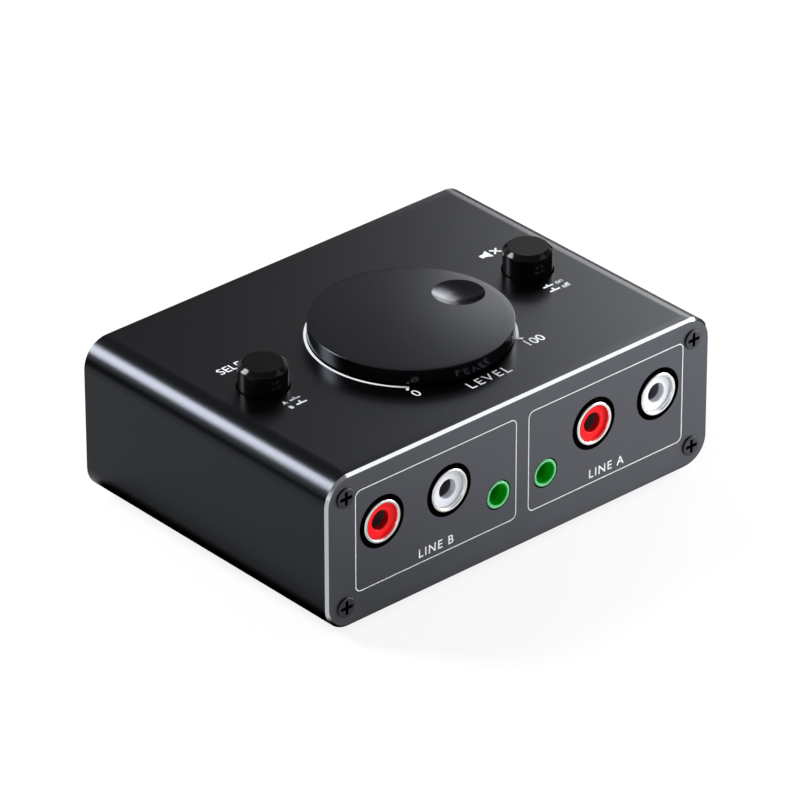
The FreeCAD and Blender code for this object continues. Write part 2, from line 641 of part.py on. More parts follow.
def push_switch(name, across):
    """Latching push switch: base, pins, housing, plunger, return spring and cap."""
    spot = ("up", across, BUTTON_Y, BOARD_TOP_LEVEL)
    base = new_body(name + "_switch_base", *spot)
    sketch = new_sketch(base)
    centred(sketch, "switch_width", "-switch_width/2", "switch_width/2")
    pad(base, sketch, "switch_base")
    holes = new_sketch(base)
    pins = []
    for column, row in switch_pins():
        half = "(switch_pin/2 + seat_gap)"
        rectangle(holes, column + " - " + half, column + " + " + half, row + " - " + half, row + " + " + half)
        pin = new_body(name + "_pin", *spot)
        shape = new_sketch(pin, lift="-" + PIN_REACH)
        half = "switch_pin/2"
        rectangle(shape, column + " - " + half, column + " + " + half, row + " - " + half, row + " + " + half)
        pad(pin, shape, "(%s + switch_base)" % PIN_REACH)
        pins.append(pin)
    pocket(base, holes, up=True)
    group = doc.addObject("Part::Compound", name + "_switch_pins")
    group.Label = name + "_switch_pins"
    group.Links = pins

    housing = new_body(name + "_switch_housing", *spot)
    skin = new_sketch(housing, lift="switch_base")
    centred(skin, "switch_width", "-switch_width/2", "switch_width/2")
    pad(housing, skin, "(switch_height - switch_base)")
    hollow = new_sketch(housing, lift="switch_base")
    side = "(switch_width/2 - switch_wall)"
    rectangle(hollow, "-" + side, side, "-" + side, side)
    pocket(housing, hollow, "(switch_height - switch_base - switch_wall)", up=True)
    guide = new_sketch(housing, lift="switch_base")
    side = "(stem_width/2 + stem_gap)"
    rectangle(guide, "-" + side, side, "-" + side, side)
    pocket(housing, guide, up=True)

    plunger = new_body(name + "_plunger", *spot)
    collar_top = "(switch_height - switch_wall - stop_gap)"
    stem_top = "(%s + %s + stem_socket)" % (TOP_ABOVE_BOARD, CAP_BOTTOM)
    collar = new_sketch(plunger, lift="%s - collar_height" % collar_top)
    centred(collar, "collar_width", "-collar_width/2", "collar_width/2")
    pad(plunger, collar, "collar_height")
    stem = new_sketch(plunger, lift=collar_top)
    centred(stem, "stem_width", "-stem_width/2", "stem_width/2")
    pad(plunger, stem, "(%s - %s)" % (stem_top, collar_top))

    spring = new_body(name + "_spring", *spot)
    wire = new_sketch(spring, "XZ_Plane")
    spring_low = "(switch_base + spring_end_gap + spring_wire/2)"
    spring_high = "(%s - collar_height - spring_end_gap - spring_wire/2)" % collar_top
    half = "spring_wire/2"
    ring = "spring_diameter/2"
    outline(wire, (
        (ring, spring_low + " - " + half),
        (ring + " + " + half, spring_low),
        (ring, spring_low + " + " + half),
        (ring + " - " + half, spring_low),
    ))
    coil = spring.newObject("PartDesign::AdditiveHelix", spring.Name + "_coil")
    coil.Profile = wire
    coil.ReferenceAxis = (wire, ["V_Axis"])
    coil.Mode = "height-turns-angle"
    bind(coil, "Height", "(%s - %s)" % (spring_high, spring_low))
    bind(coil, "Turns", "spring_turns")
    spring.Tip = coil

    cap = new_body(name + "_button", "up", across, BUTTON_Y, CASE_TOP_LEVEL)
    turned(cap, (
        ("0", CAP_BOTTOM),
        ("button_diameter/2", CAP_BOTTOM),
        ("button_diameter/2", "button_rise - button_chamfer"),
        ("button_diameter/2 - button_chamfer", "button_rise"),
        ("0", "button_rise"),
    ))
    socket = new_sketch(cap, lift=CAP_BOTTOM)
    side = "(stem_width/2 + seat_gap)"
    rectangle(socket, "-" + side, side, "-" + side, side)
    pocket(cap, socket, "(stem_socket + seat_gap)", up=True)
    return [base, group, housing, plunger, spring, cap]


def potentiometer():
    """Base, terminals, housing, bushing, wiper carrier and shaft of the level control."""
    spot = ("up", "0", KNOB_Y, BOARD_TOP_LEVEL)
    base = new_body("level_pot_base", *spot)
    sketch = new_sketch(base)
    centred(sketch, "pot_width", "-pot_width/2", "pot_width/2")
    pad(base, sketch, "pot_base")
    holes = new_sketch(base)
    pins = []
    for column, row in pot_terminals():
        half = "(terminal_width/2 + seat_gap)"
        rectangle(holes, column + " - " + half, column + " + " + half, row + " - " + half, row + " + " + half)
        pin = new_body("level_pot_terminal", *spot)
        shape = new_sketch(pin, lift="-" + PIN_REACH)
        half = "terminal_width/2"
        rectangle(shape, column + " - " + half, column + " + " + half, row + " - " + half, row + " + " + half)
        pad(pin, shape, "(%s + pot_base)" % PIN_REACH)
        pins.append(pin)
    pocket(base, holes, up=True)
    terminals = doc.addObject("Part::Compound", "level_pot_terminals")
    terminals.Label = "level_pot_terminals"
    terminals.Links = pins

    housing = new_body("level_pot_housing", *spot)
    skin = new_sketch(housing, lift="pot_base")
    centred(skin, "pot_width", "-pot_width/2", "pot_width/2")
    pad(housing, skin, "(pot_height - pot_base)")
    cavity = new_sketch(housing, lift="pot_base")
    centred(cavity, "pot_cavity", "-pot_cavity/2", "pot_cavity/2")
    pocket(housing, cavity, "(pot_height - pot_base - pot_roof)", up=True)
    eye = new_sketch(housing, lift="pot_base")
    circle(eye, "0", "0", "(shaft_diameter + 8*shaft_gap)")
    pocket(housing, eye, up=True)

    bushing = new_body("level_pot_bushing", *spot)
    flange = new_sketch(bushing, lift="pot_height")
    centred(flange, "pot_width", "-pot_width/2", "pot_width/2")
    pad(bushing, flange, "flange_thickness")
    collar = new_sketch(bushing, lift="pot_height")
    circle(collar, "0", "0", "bushing_diameter")
    pad(bushing, collar, "(%s - hub_drop - bushing_gap - pot_height)" % TOP_ABOVE_BOARD)
    bore = new_sketch(bushing, lift="pot_height")
    circle(bore, "0", "0", "(shaft_diameter + 2*shaft_gap)")
    pocket(bushing, bore, up=True)

    rotor_top = "(pot_base + rotor_lift + rotor_thickness)"
    rotor = new_body("level_pot_wiper", *spot)
    turn_with_dimple(rotor)
    disc = new_sketch(rotor, lift="(pot_base + rotor_lift)")
    circle(disc, "0", "0", "rotor_diameter")
    pad(rotor, disc, "rotor_thickness")
    hole = new_sketch(rotor, lift="(pot_base + rotor_lift)")
    side = "(spigot_width/2 + seat_gap)"
    rectangle(hole, "-" + side, side, "-" + side, side)
    pocket(rotor, hole, up=True)

    shaft = new_body("level_pot_shaft", *spot)
    turn_with_dimple(shaft)
    top = "(%s + knob_rise - knob_web - shaft_end_gap)" % TOP_ABOVE_BOARD
    rod = new_sketch(shaft, lift=top)
    circle(rod, "0", "0", "shaft_diameter")
    pad(shaft, rod, "(%s - %s - seat_gap)" % (top, rotor_top), down=True)
    spigot = new_sketch(shaft, lift="(%s + seat_gap)" % rotor_top)
    centred(spigot, "spigot_width", "-spigot_width/2", "spigot_width/2")
    pad(shaft, spigot, "(rotor_lift/2 + rotor_thickness + seat_gap)", down=True)
    flat = new_sketch(shaft, lift=top)
    rectangle(flat, "-shaft_diameter", "shaft_diameter", "shaft_flat - shaft_diameter/2", "shaft_diameter")
    pocket(shaft, flat, "(hub_drop + knob_rise - knob_web - shaft_end_gap + flat_run_out)")
    return [base, terminals, housing, bushing, rotor, shaft]


def level_knob():
    """Wide flat knob with a spherical finger dimple and a hub that reaches down to the shaft."""
    body = new_body("level_knob", "up", "0", KNOB_Y, CASE_TOP_LEVEL)
    turn_with_dimple(body)
    edge = "knob_diameter/2"
    turned(body, (
        ("0", "-hub_drop"),
        ("hub_diameter/2", "-hub_drop"),
        ("hub_diameter/2", "knob_gap"),
        (edge, "knob_gap"),
        (edge, "knob_rise - knob_chamfer"),
        (edge + " - knob_chamfer", "knob_rise"),
        ("0", "knob_rise"),
    ))
    # The socket matches the shaft with its flat. The dimple is the cap of a ball that hangs above it.
    socket = new_sketch(body, lift="-hub_drop")
    half_chord = "sqrt((shaft_diameter/2 + seat_gap)^2 - (shaft_flat - shaft_diameter/2 + seat_gap)^2)"
    flat = "(shaft_flat - shaft_diameter/2 + seat_gap)"
    outline(socket, ((half_chord, flat), ("-" + half_chord, flat, "0", "0", 1)))
    pocket(body, socket, "(hub_drop + knob_rise - knob_web)", up=True)
    ball = "((dimple_diameter^2/4 + dimple_depth^2)/(2*dimple_depth))"
    half_disc = new_sketch(body, lift="(knob_rise - dimple_depth + %s)" % ball, shift="dimple_reach")
    outline(half_disc, (("-" + ball, "0", "0", "0", 1), (ball, "0")))
    dimple = body.newObject("PartDesign::Groove", "dimple")
    dimple.Profile = half_disc
    dimple.ReferenceAxis = (half_disc, ["H_Axis"])
    dimple.Angle = 360
    body.Tip = dimple
    return body


pieces = [case_sleeve(), end_panel("front"), end_panel("rear"), panel_screws("front"), panel_screws("rear")]
for end, y_sign in (("front", "-"), ("rear", "")):
    for hand, x_sign in (("left", "-"), ("right", "")):
        pieces.append(rubber_foot("foot_%s_%s" % (end, hand), x_sign, y_sign))
pieces.append(main_board())
for socket in SOCKETS:
    pieces.extend(phono_socket(*socket))
for jack in JACKS:
    pieces.extend(mini_jack(*jack))
for button in BUTTONS:
    pieces.extend(push_switch(*button))
pieces.extend(potentiometer())
pieces.append(level_knob())
doc.recompute()

for thing in doc.Objects:
    if "Invalid" in thing.State or "Error" in thing.State:
        raise RuntimeError("%s did not build: %s" % (thing.Name, thing.State))
for feature in doc.Objects:
    if feature.TypeId in ("PartDesign::Pocket", "PartDesign::Groove"):
        if feature.Shape.Volume > feature.BaseFeature.Shape.Volume - 1e-4:
            raise RuntimeError("%s cuts nothing" % feature.Name)
for piece in pieces:
    if piece.Shape.isNull() or not piece.Shape.isValid() or not piece.Shape.Solids:
        raise RuntimeError("%s has no valid solid" % piece.Label)

os.makedirs("parts", exist_ok=True)
for piece in pieces:
    piece.Shape.exportStep("parts/%s.step" % piece.Label)
print(len(pieces), "sub-parts written")
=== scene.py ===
import math

import bmesh
import bpy
from mathutils import Matrix, Vector


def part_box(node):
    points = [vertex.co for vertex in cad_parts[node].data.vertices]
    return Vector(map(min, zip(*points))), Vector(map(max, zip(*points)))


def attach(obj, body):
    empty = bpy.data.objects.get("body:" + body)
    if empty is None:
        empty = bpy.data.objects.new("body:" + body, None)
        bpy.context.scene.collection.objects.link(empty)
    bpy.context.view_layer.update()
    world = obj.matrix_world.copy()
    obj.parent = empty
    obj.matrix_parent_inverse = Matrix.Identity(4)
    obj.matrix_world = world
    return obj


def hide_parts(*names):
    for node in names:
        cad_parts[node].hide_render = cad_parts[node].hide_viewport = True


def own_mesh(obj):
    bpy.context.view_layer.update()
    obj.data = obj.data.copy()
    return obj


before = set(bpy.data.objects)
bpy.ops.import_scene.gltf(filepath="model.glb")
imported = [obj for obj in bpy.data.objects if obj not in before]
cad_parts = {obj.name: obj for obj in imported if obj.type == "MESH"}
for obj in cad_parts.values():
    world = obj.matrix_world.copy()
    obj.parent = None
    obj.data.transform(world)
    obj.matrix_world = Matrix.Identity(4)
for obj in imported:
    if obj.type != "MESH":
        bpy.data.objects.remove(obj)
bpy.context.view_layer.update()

bl_info = {
    "name": "Audio Source Selector",
    "version": (1, 0, 0),
    "blender": (4, 5, 0),
    "location": "3D View > Sidebar > Selector",
    "description": "Panels, sockets, level knob, push buttons, print and finishes of a small source selector",
    "category": "Add Mesh",
}

# The row frame: +X right along the front panel, -Y out of the front panel, +Z up, in metres.
MM = 0.001
PANEL_FACE = -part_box("front_panel")[0].y
CASE_LOW, CASE_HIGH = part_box("case_sleeve")
KNOB_LOW, KNOB_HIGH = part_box("level_knob")
KNOB_AXIS = Vector(((KNOB_LOW.x + KNOB_HIGH.x) / 2, (KNOB_LOW.y + KNOB_HIGH.y) / 2, 0.0))
FRONT_SOCKETS = ("b_red_socket", "b_white_socket", "a_red_socket", "a_white_socket")
REAR_SOCKETS = ("out_red_socket", "out_white_socket")
JACKS = ("b_jack", "a_jack", "out_jack")
JACK_RISE = 3.5 * MM
BUTTONS = (("select", "select_key"), ("mute", "mute_key"))
FEET = ("foot_front_left", "foot_front_right", "foot_rear_left", "foot_rear_right")
PRINT_DEPTH = 0.02 * MM
# Two places nearer than this are the same, and a cutter goes this far past what it cuts.
TOUCH = 0.001 * MM
PAST = 1.0 * MM
# Sides of a turned part that shows, and of a hole.
FINE = 96


def linear(text):
    """An sRGB colour such as 2f3033 as the linear red, green, blue and alpha that Blender mixes."""
    parts = [int(text[i:i + 2], 16) / 255 for i in (0, 2, 4)]
    return tuple(c / 12.92 if c <= 0.04045 else ((c + 0.055) / 1.055) ** 2.4 for c in parts) + (1.0,)


def length(name, description, millimetres):
    return bpy.props.FloatProperty(
        name=name, description=description, default=millimetres * MM, min=0.0, unit="LENGTH", precision=5)


def colour(name, description, text):
    return bpy.props.FloatVectorProperty(
        name=name, description=description, default=linear(text), size=4, min=0.0, max=1.0, subtype="COLOR")


class SelectorSizes(bpy.types.PropertyGroup):
    """Sizes of the forms that are modelled here round the CAD model."""
    corner_radius: length("Case corner", "Outer corner of the extrusion and its end panels", 5.3)
    panel_chamfer: length("Panel chamfer", "Polished chamfer round each end panel", 0.5)
    socket_hole: length("Socket opening", "Opening of the panel round a phono socket", 10.25)
    jack_hole: length("Jack hole", "Hole of the panel round a 3.5 mm jack", 5.8)
    shell_lip: length("Shell lip", "Rounding of the rolled lip of a phono shell", 0.26)
    pin_bore: length("Pin bore", "Bore of a phono socket for the centre pin", 3.8)
    recess_span: length("Screw recess", "Cross recess of a panel screw, tip to tip", 2.9)
    recess_arm: length("Recess arm", "Width of an arm of the cross recess", 0.7)
    knob_edge: length("Knob edge", "Broken upper edge of the level knob", 0.12)
    knob_crown: length("Knob crown", "How far the turned top rises from its rim to its middle", 0.29)
    dimple_diameter: length("Dimple", "Finger dimple of the knob, across", 10.2)
    dimple_depth: length("Dimple depth", "Finger dimple of the knob, deep", 1.2)
    dimple_reach: length("Dimple reach", "Finger dimple to the knob axis", 12.6)
    dimple_angle: bpy.props.FloatProperty(
        name="Dimple angle", description="Finger dimple, turned from the right-hand side",
        default=math.radians(5.0), subtype="ANGLE", unit="ROTATION")
    button_chamfer: length("Button chamfer", "Upper edge of a push button", 0.78)
    spring_wire: length("Spring wire", "Wire of the return spring under each push button", 0.4)
    spring_turns: bpy.props.IntProperty(
        name="Spring turns", description="Turns of the same spring", default=3, min=1)
    frame_line: length("Frame line", "Stroke of the printed frames on the front panel", 0.19)
    frame_corner: length("Frame corner", "Rounded corner of the printed frames", 1.3)
    scale_radius: length("Scale radius", "Middle of the printed arc round the knob", 18.82)
    scale_stroke: length("Scale stroke", "Stroke of the printed arc and its two end ticks", 0.5)


class SelectorColours(bpy.types.PropertyGroup):
    """Colours of the finishes."""
    case: colour("Case", "Black anodised extrusion", "2c2e32")
    panel: colour("Panels", "Grey-black anodised end panels", "5b5d63")
    edge: colour("Chamfer", "Bare polished aluminium of the panel chamfer", "d0d2d6")
    knob: colour("Knob", "Black anodised knob", "393b40")
    button: colour("Buttons", "Gloss black moulded caps", "0b0b0c")
    red: colour("Red sockets", "Insulator of the right channel", "ff141c")
    # A darker red, painted shade for the inside of the pin bore.
    red_bore_painted_shade: colour("Red pin bores", "The same plastic seen inside the bore of the pin", "b40a14")
    white: colour("White sockets", "Insulator of the left channel", "e0e3ea")
    green: colour("Green jacks", "Front face of the 3.5 mm jacks", "70c48a")
    # A darker, deeper green, painted shade for the inside of the jack bore.
    green_bore_painted_shade: colour("Green jack bores", "The same plastic seen deep inside the bore", "00b01e")
    ink: colour("Print", "White screen print", "eceef2")
    thin_ink: colour("Thin print", "The same ink in a line so thin that the panel shows through it", "dfe1e5")
    floor: colour("Floor", "Pale studio floor", "f4f4f4")


# Modelling by hand, in code.

def clear_selection():
    """Leaves object mode with nothing selected, so that the next operator acts on its own piece alone."""
    if bpy.context.object is not None and bpy.context.object.mode != "OBJECT":
        bpy.ops.object.mode_set(mode="OBJECT")
    bpy.ops.object.select_all(action="DESELECT")


def work_on(piece):
    """Selects one piece and makes it the active one."""
    clear_selection()
    piece.select_set(True)
    bpy.context.view_layer.objects.active = piece


def open_mesh():
    """Opens the active piece for editing, by its vertices and with all of it selected."""
    bpy.ops.object.mode_set(mode="EDIT")
    bpy.ops.mesh.select_mode(type="VERT")
    bpy.ops.mesh.select_all(action="SELECT")


def close_mesh():
    bpy.ops.object.mode_set(mode="OBJECT")


def settle():
    """Puts the place, turn and size of the selected piece into its mesh."""
    bpy.ops.object.transform_apply(location=True, rotation=True, scale=True)


def apply_modifier(piece, name, kind, **settings):
    modifier = piece.modifiers.new(name, kind)
    for setting, value in settings.items():
        setattr(modifier, setting, value)
    bpy.ops.object.modifier_apply(modifier=modifier.name)


def pick(kind, test):
    """Selects those faces, edges or vertices of the open mesh that pass the test, and no others."""
    bpy.ops.mesh.select_mode(type=kind)
    bpy.ops.mesh.select_all(action="DESELECT")
    data = bpy.context.object.data
    mesh = bmesh.from_edit_mesh(data)
    for part in {"FACE": mesh.faces, "EDGE": mesh.edges, "VERT": mesh.verts}[kind]:
        if test(part):
            part.select_set(True)
    bmesh.update_edit_mesh(data)


def box_piece(name, low, high):
    """A block from its lowest to its highest corner, left open for editing."""
    clear_selection()
    low, high = Vector(low), Vector(high)
    bpy.ops.mesh.primitive_cube_add(size=1.0, location=(low + high) / 2, scale=high - low)
    piece = bpy.context.object
    piece.name = name
    settle()
    open_mesh()
    return piece


def flat_piece(spot, across, up, rotation=(0, 0, 0)):
    """A flat rectangle about its middle."""
    clear_selection()
    bpy.ops.mesh.primitive_plane_add(size=1.0, location=spot, rotation=rotation)
    piece = bpy.context.object
    piece.scale = (across, up, 1.0)
    settle()
    return piece


def join(pieces):
    """Makes one piece of several."""
    clear_selection()
    for piece in pieces:
        piece.select_set(True)
    bpy.context.view_layer.objects.active = pieces[0]
    bpy.ops.object.join()
    return pieces[0]


def mend():
    """Merges the double vertices of the open mesh and turns its faces outwards."""
    bpy.ops.mesh.select_all(action="SELECT")
    bpy.ops.mesh.remove_doubles(threshold=1e-7)
    bpy.ops.mesh.normals_make_consistent(inside=False)
    close_mesh()


def turned_piece(name, profile, count, ring=False):
    """A turned form about the z axis, from its points of radius and height: a circle is extruded, moved
    and scaled from each to the next. A ring closes on its first circle, other forms by a face at each end."""
    clear_selection()
    radius, height = profile[0]
    bpy.ops.mesh.primitive_circle_add(
        vertices=count, radius=radius, location=(0, 0, height), fill_type="NOTHING" if ring else "NGON")
    piece = bpy.context.object
    piece.name = name
    settle()
    open_mesh()
    for next_radius, next_height in profile[1:] + (profile[:1] if ring else []):
        bpy.ops.mesh.extrude_region_move(TRANSFORM_OT_translate={"value": (0, 0, next_height - height)})
        share = next_radius / radius
        bpy.ops.transform.resize(value=(share, share, 1.0), center_override=(0, 0, next_height))
        radius, height = next_radius, next_height
    mend()
    return piece


def rounding(radius, height, bend, first, last, steps=5):
    """Points of a rounded edge about its own centre, for a turned form. Angles in degrees."""
    return [
        (radius + bend * math.cos(math.radians(first + (last - first) * i / steps)),
         height + bend * math.sin(math.radians(first + (last - first) * i / steps)))
        for i in range(steps + 1)
    ]


def combine(piece, other, kind):
    """Joins another solid to a piece, or cuts it away, and removes the other."""
    work_on(piece)
    apply_modifier(piece, "form", "BOOLEAN", operation=kind, solver="EXACT", object=other)
    bpy.data.objects.remove(other)
    return piece


def another(piece, name):
    """A copy of a modelled piece, with its own mesh."""
    work_on(piece)
    bpy.ops.object.duplicate(linked=False)
    copy = bpy.context.object
    copy.name = name
    copy.data.name = name
    return copy


def set_down(piece, spot, facing="up"):
    """Turns a piece from its own z axis to the way it faces, and puts its place into its mesh."""
    work_on(piece)
    piece.rotation_euler = {
        "up": (0, 0, 0),
        "front": (math.radians(90), 0, 0),
        "rear": (math.radians(90), 0, math.radians(180)),
    }[facing]
    piece.location = spot
    settle()
    return piece


def give_finishes(piece, finishes):
    if not piece.data.materials:
        for finish in finishes:
            piece.data.materials.append(bpy.data.materials[finish])


def over(node):
    """The spot on the floor under the middle of a CAD node."""
    low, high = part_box(node)
    return (low.x + high.x) / 2, (low.y + high.y) / 2, 0


def complete(piece, body, finishes, replaced=(), angle=35.0):
    """Gives a modelled piece its shading, finishes, body and material slot."""
    work_on(piece)
    piece.data.name = piece.name
    bpy.ops.object.shade_smooth_by_angle(angle=math.radians(angle))
    give_finishes(piece, finishes)
    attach(piece, body)
    if replaced:
        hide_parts(*replaced)


def paint_faces(piece, finishes, index, test):
    """Gives some faces of a piece another of its finishes."""
    work_on(piece)
    give_finishes(piece, finishes)
    bpy.ops.object.mode_set(mode="EDIT")
    pick("FACE", test)
    piece.active_material_index = index
    bpy.ops.object.material_slot_assign()
    close_mesh()


# Finishes.

def add_node(tree, kind, settings=None, links=None):
    """Adds a shader node, sets its properties and input values, and links its inputs to sockets."""
    node = tree.nodes.new("ShaderNode" + kind)
    for name, value in (settings or {}).items():
        if isinstance(name, str) and name.islower():
            setattr(node, name, value)
        else:
            node.inputs[name].default_value = value
    for name, socket in (links or {}).items():
        tree.links.new(socket, node.inputs[name])
    return node


def new_finish(name):
    """An empty material, with its tree, its object coordinates and its output."""
    material = bpy.data.materials.new(name)
    material.use_nodes = True
    tree = material.node_tree
    tree.nodes.clear()
    coordinates = add_node(tree, "TexCoord").outputs["Object"]
    output = add_node(tree, "OutputMaterial")
    return tree, coordinates, output


def mottled(tree, coordinates, tint, spread, size):
    """A colour that wanders by a few percent over patches of a real size in metres."""
    patches = add_node(tree, "TexNoise", {"Scale": 1 / size, "Detail": 3.0}, {"Vector": coordinates})
    dark = tuple(c * (1 - spread) for c in tint[:3]) + (1.0,)
    light = tuple(min(1.0, c * (1 + spread)) for c in tint[:3]) + (1.0,)
    mix = add_node(tree, "Mix", {"data_type": "RGBA", 6: dark, 7: light}, {0: patches.outputs["Fac"]})
    return mix.outputs[2]


def spread_of(tree, source, low, high):
    """A pattern's grey value as a number between two limits. A noise seldom leaves 0.3 to 0.7."""
    return add_node(
        tree, "MapRange", {"From Min": 0.3, "From Max": 0.7, "To Min": low, "To Max": high},
        {"Value": source}).outputs["Result"]


def levels(tree, source, stops):
    """A grey level that runs through some stops, each a place from 0 to 1 and the level there."""
    ramp = add_node(tree, "ValToRGB", None, {"Fac": source})
    steps = ramp.color_ramp.elements
    while len(steps) < len(stops):
        steps.new(1.0)
    for step, (place, level) in zip(steps, stops):
        step.position = place
        step.color = (level, level, level, 1.0)
    return ramp.outputs["Color"]


def grain_of(tree, coordinates, grain, relief):
    """A grain of a real size, and the normals of its relief, both in millimetres."""
    grains = add_node(tree, "TexNoise", {"Scale": 1 / (grain * MM), "Detail": 2.0}, {"Vector": coordinates})
    bump = add_node(
        tree, "Bump", {"Strength": 1.0, "Distance": relief * MM}, {"Height": grains.outputs["Fac"]})
    return grains.outputs["Fac"], bump.outputs["Normal"]


def make_finish(name, tint, metallic, roughness, grain, relief, mottle=0.05, stretch=(1, 1, 1), **more):
    """A rigid surface: a wandering tint, a grain that moves the gloss, and its relief, in millimetres.
    The grain is stretched where the making left lines. The tint is text or a colour of the sidebar."""
    tree, coordinates, output = new_finish(name)
    tint = linear(tint) if isinstance(tint, str) else tuple(tint)
    grain_map = add_node(tree, "Mapping", {"Scale": stretch}, {"Vector": coordinates})
    grains, normals = grain_of(tree, grain_map.outputs[0], grain, relief)
    shader = add_node(tree, "BsdfPrincipled", {"Metallic": metallic, **more}, {
        "Base Color": mottled(tree, coordinates, tint, mottle, 6 * MM),
        "Roughness": spread_of(tree, grains, *roughness),
        "Normal": normals,
    })
    tree.links.new(shader.outputs["BSDF"], output.inputs["Surface"])


class SELECTOR_OT_finishes(bpy.types.Operator):
    """Make the finishes of all pieces and give the CAD nodes that stay theirs"""
    bl_idname = "selector.finishes"
    bl_label = "Finishes"

    def execute(self, context):
        colours = context.scene.selector_colours
        # Black anodised extrusion: a dyed oxide film over drawn metal, deep and nearly glossy, with faint die
        # lines along the extrusion. Real lines are 0.05 mm apart; they are drawn at 0.4 mm to show at all.
        make_finish("black_anodised_extrusion", colours.case, 1.0, (0.271, 0.273), 0.4, 0.000008,
                    mottle=0.02, stretch=(1, 0.02, 1))
        # Grey-black anodised sheet, bead blasted before the bath: satin, with a grain of 0.15 mm beads that
        # is drawn at 0.3 mm.
        make_finish("blasted_anodised_sheet", colours.panel, 1.0, (0.42, 0.46), 0.3, 0.002, mottle=0.04)
        # The walls of the punched holes carry painted shade: near black, as they stand in shadow, so that
        # next to no light comes back from them.
        make_finish("hole_wall_painted_shade", "0a0a0b", 1.0, (0.5, 0.6), 0.3, 0.002)
        # Chamfer milled with a diamond after anodising: bare, bright, with tool marks 0.1 mm apart.
        make_finish("diamond_cut_aluminium", colours.edge, 1.0, (0.1, 0.16), 0.3, 0.0005, mottle=0.02)
        # Blackened steel of the panel screws: thin oxide on a cold-headed face, a dull sheen with pits.
        make_finish("blackened_steel", "4a4b4f", 1.0, (0.34, 0.46), 0.25, 0.003, mottle=0.15)
        # The flanks and recess of the same screws carry painted shade: the same steel made near black where
        # the head's side and the cross recess stand in shadow.
        make_finish("blackened_steel_painted_shade", "0d0d0f", 1.0, (0.4, 0.5), 0.25, 0.003)
        # Bright nickel on deep-drawn brass: a mirror with the soft waviness of the drawn cup.
        make_finish("bright_nickel", "f8f7f5", 1.0, (0.1, 0.16), 0.8, 0.0006, mottle=0.02)
        # Moulded ABS of the insulators and jack bodies: even colour, a soft shine, faint mould texture. The
        # two bore finishes are darker copies of the red and the green, painted shade for inside the bores.
        for name, tint in (
            ("red_moulded_abs", colours.red),
            ("white_moulded_abs", colours.white),
            ("green_moulded_abs", colours.green),
            ("green_moulded_painted_shade", colours.green_bore_painted_shade),
            ("red_moulded_painted_shade", colours.red_bore_painted_shade),
        ):
            make_finish(name, tint, 0.0, (0.3, 0.38), 0.35, 0.001, mottle=0.03, IOR=1.54,
                        **{"Specular IOR Level": 0.12})
        # Gloss black caps, moulded in a polished cavity: piano shine on the flanks and the chamfer.
        make_finish("gloss_black_abs", colours.button, 0.0, (0.1, 0.13), 0.6, 0.0004, IOR=1.54,
                    **{"Specular IOR Level": 0.12})
        # The cap's top is left satin, so that fingers don't show: light spreads over it evenly.
        make_finish("satin_black_abs", "0b0b0c", 0.0, (0.26, 0.3), 0.3, 0.001, IOR=1.5,
                    **{"Specular IOR Level": 0.05})
        # Black glass-filled nylon of the socket and switch housings: matt, with fibre mottling.
        make_finish("black_filled_nylon", "0c0c0d", 0.0, (0.5, 0.62), 0.3, 0.004, IOR=1.53)
        # Grey acetal of plungers and wiper carrier: waxy, slightly uneven.
        make_finish("grey_acetal", "8b8d90", 0.0, (0.35, 0.42), 0.5, 0.001, IOR=1.48)
        # Phosphor bronze of the contacts: warm, rolled lines, a little tarnish.
        make_finish("phosphor_bronze", "b98a55", 1.0, (0.22, 0.34), 0.3, 0.0008,
                    mottle=0.12, stretch=(1, 1, 0.05))
        # The dull tin inside the pin bore: it is seen only in shade, as dark grey.
        make_finish("tinned_bore", "b4b6bb", 1.0, (0.5, 0.6), 0.4, 0.001, mottle=0.1)
        # Tinned pins and terminals: soft grey metal with dip ripples.
        make_finish("tinned_copper", "b9bcc0", 1.0, (0.26, 0.4), 0.5, 0.002, mottle=0.08)
        # Zinc-plated steel of the shaft and its bushing: bluish, finely turned.
        make_finish("zinc_plated_steel", "aeb3b8", 1.0, (0.24, 0.32), 0.25, 0.0008,
                    mottle=0.06, stretch=(0.1, 0.1, 1))
        # Spring wire: drawn steel with a thin brown temper.
        make_finish("drawn_spring_wire", "8d8a86", 1.0, (0.25, 0.35), 0.2, 0.0008, mottle=0.1)
        # Paper laminate under switches and control: brown, dull, with paper fibres.
        make_finish("brown_paper_laminate", "7a4b2a", 0.0, (0.5, 0.6), 0.3, 0.003, mottle=0.12, IOR=1.5)
        # Glass-epoxy board under matt black lacquer, with the weave of the glass cloth just showing.
        make_finish("lacquered_glass_epoxy", "101211", 0.0, (0.42, 0.5), 0.5, 0.002, mottle=0.08, IOR=1.55)
        # Rubber of the feet: matt, dusty black with a moulded grain.
        make_finish("moulded_rubber", "1a1a1b", 0.0, (0.72, 0.82), 0.3, 0.006, mottle=0.1, IOR=1.52)
        self.knob_finishes(tuple(colours.knob))
        self.ink_finish("white_screen_print", tuple(colours.ink))
        self.ink_finish("thin_screen_print", tuple(colours.thin_ink))
        self.give_cad_nodes()
        return {"FINISHED"}

    def knob_finishes(self, tint):
        """Turned and black anodised knob: its top carries fine rings about the axis, its flank is smooth."""
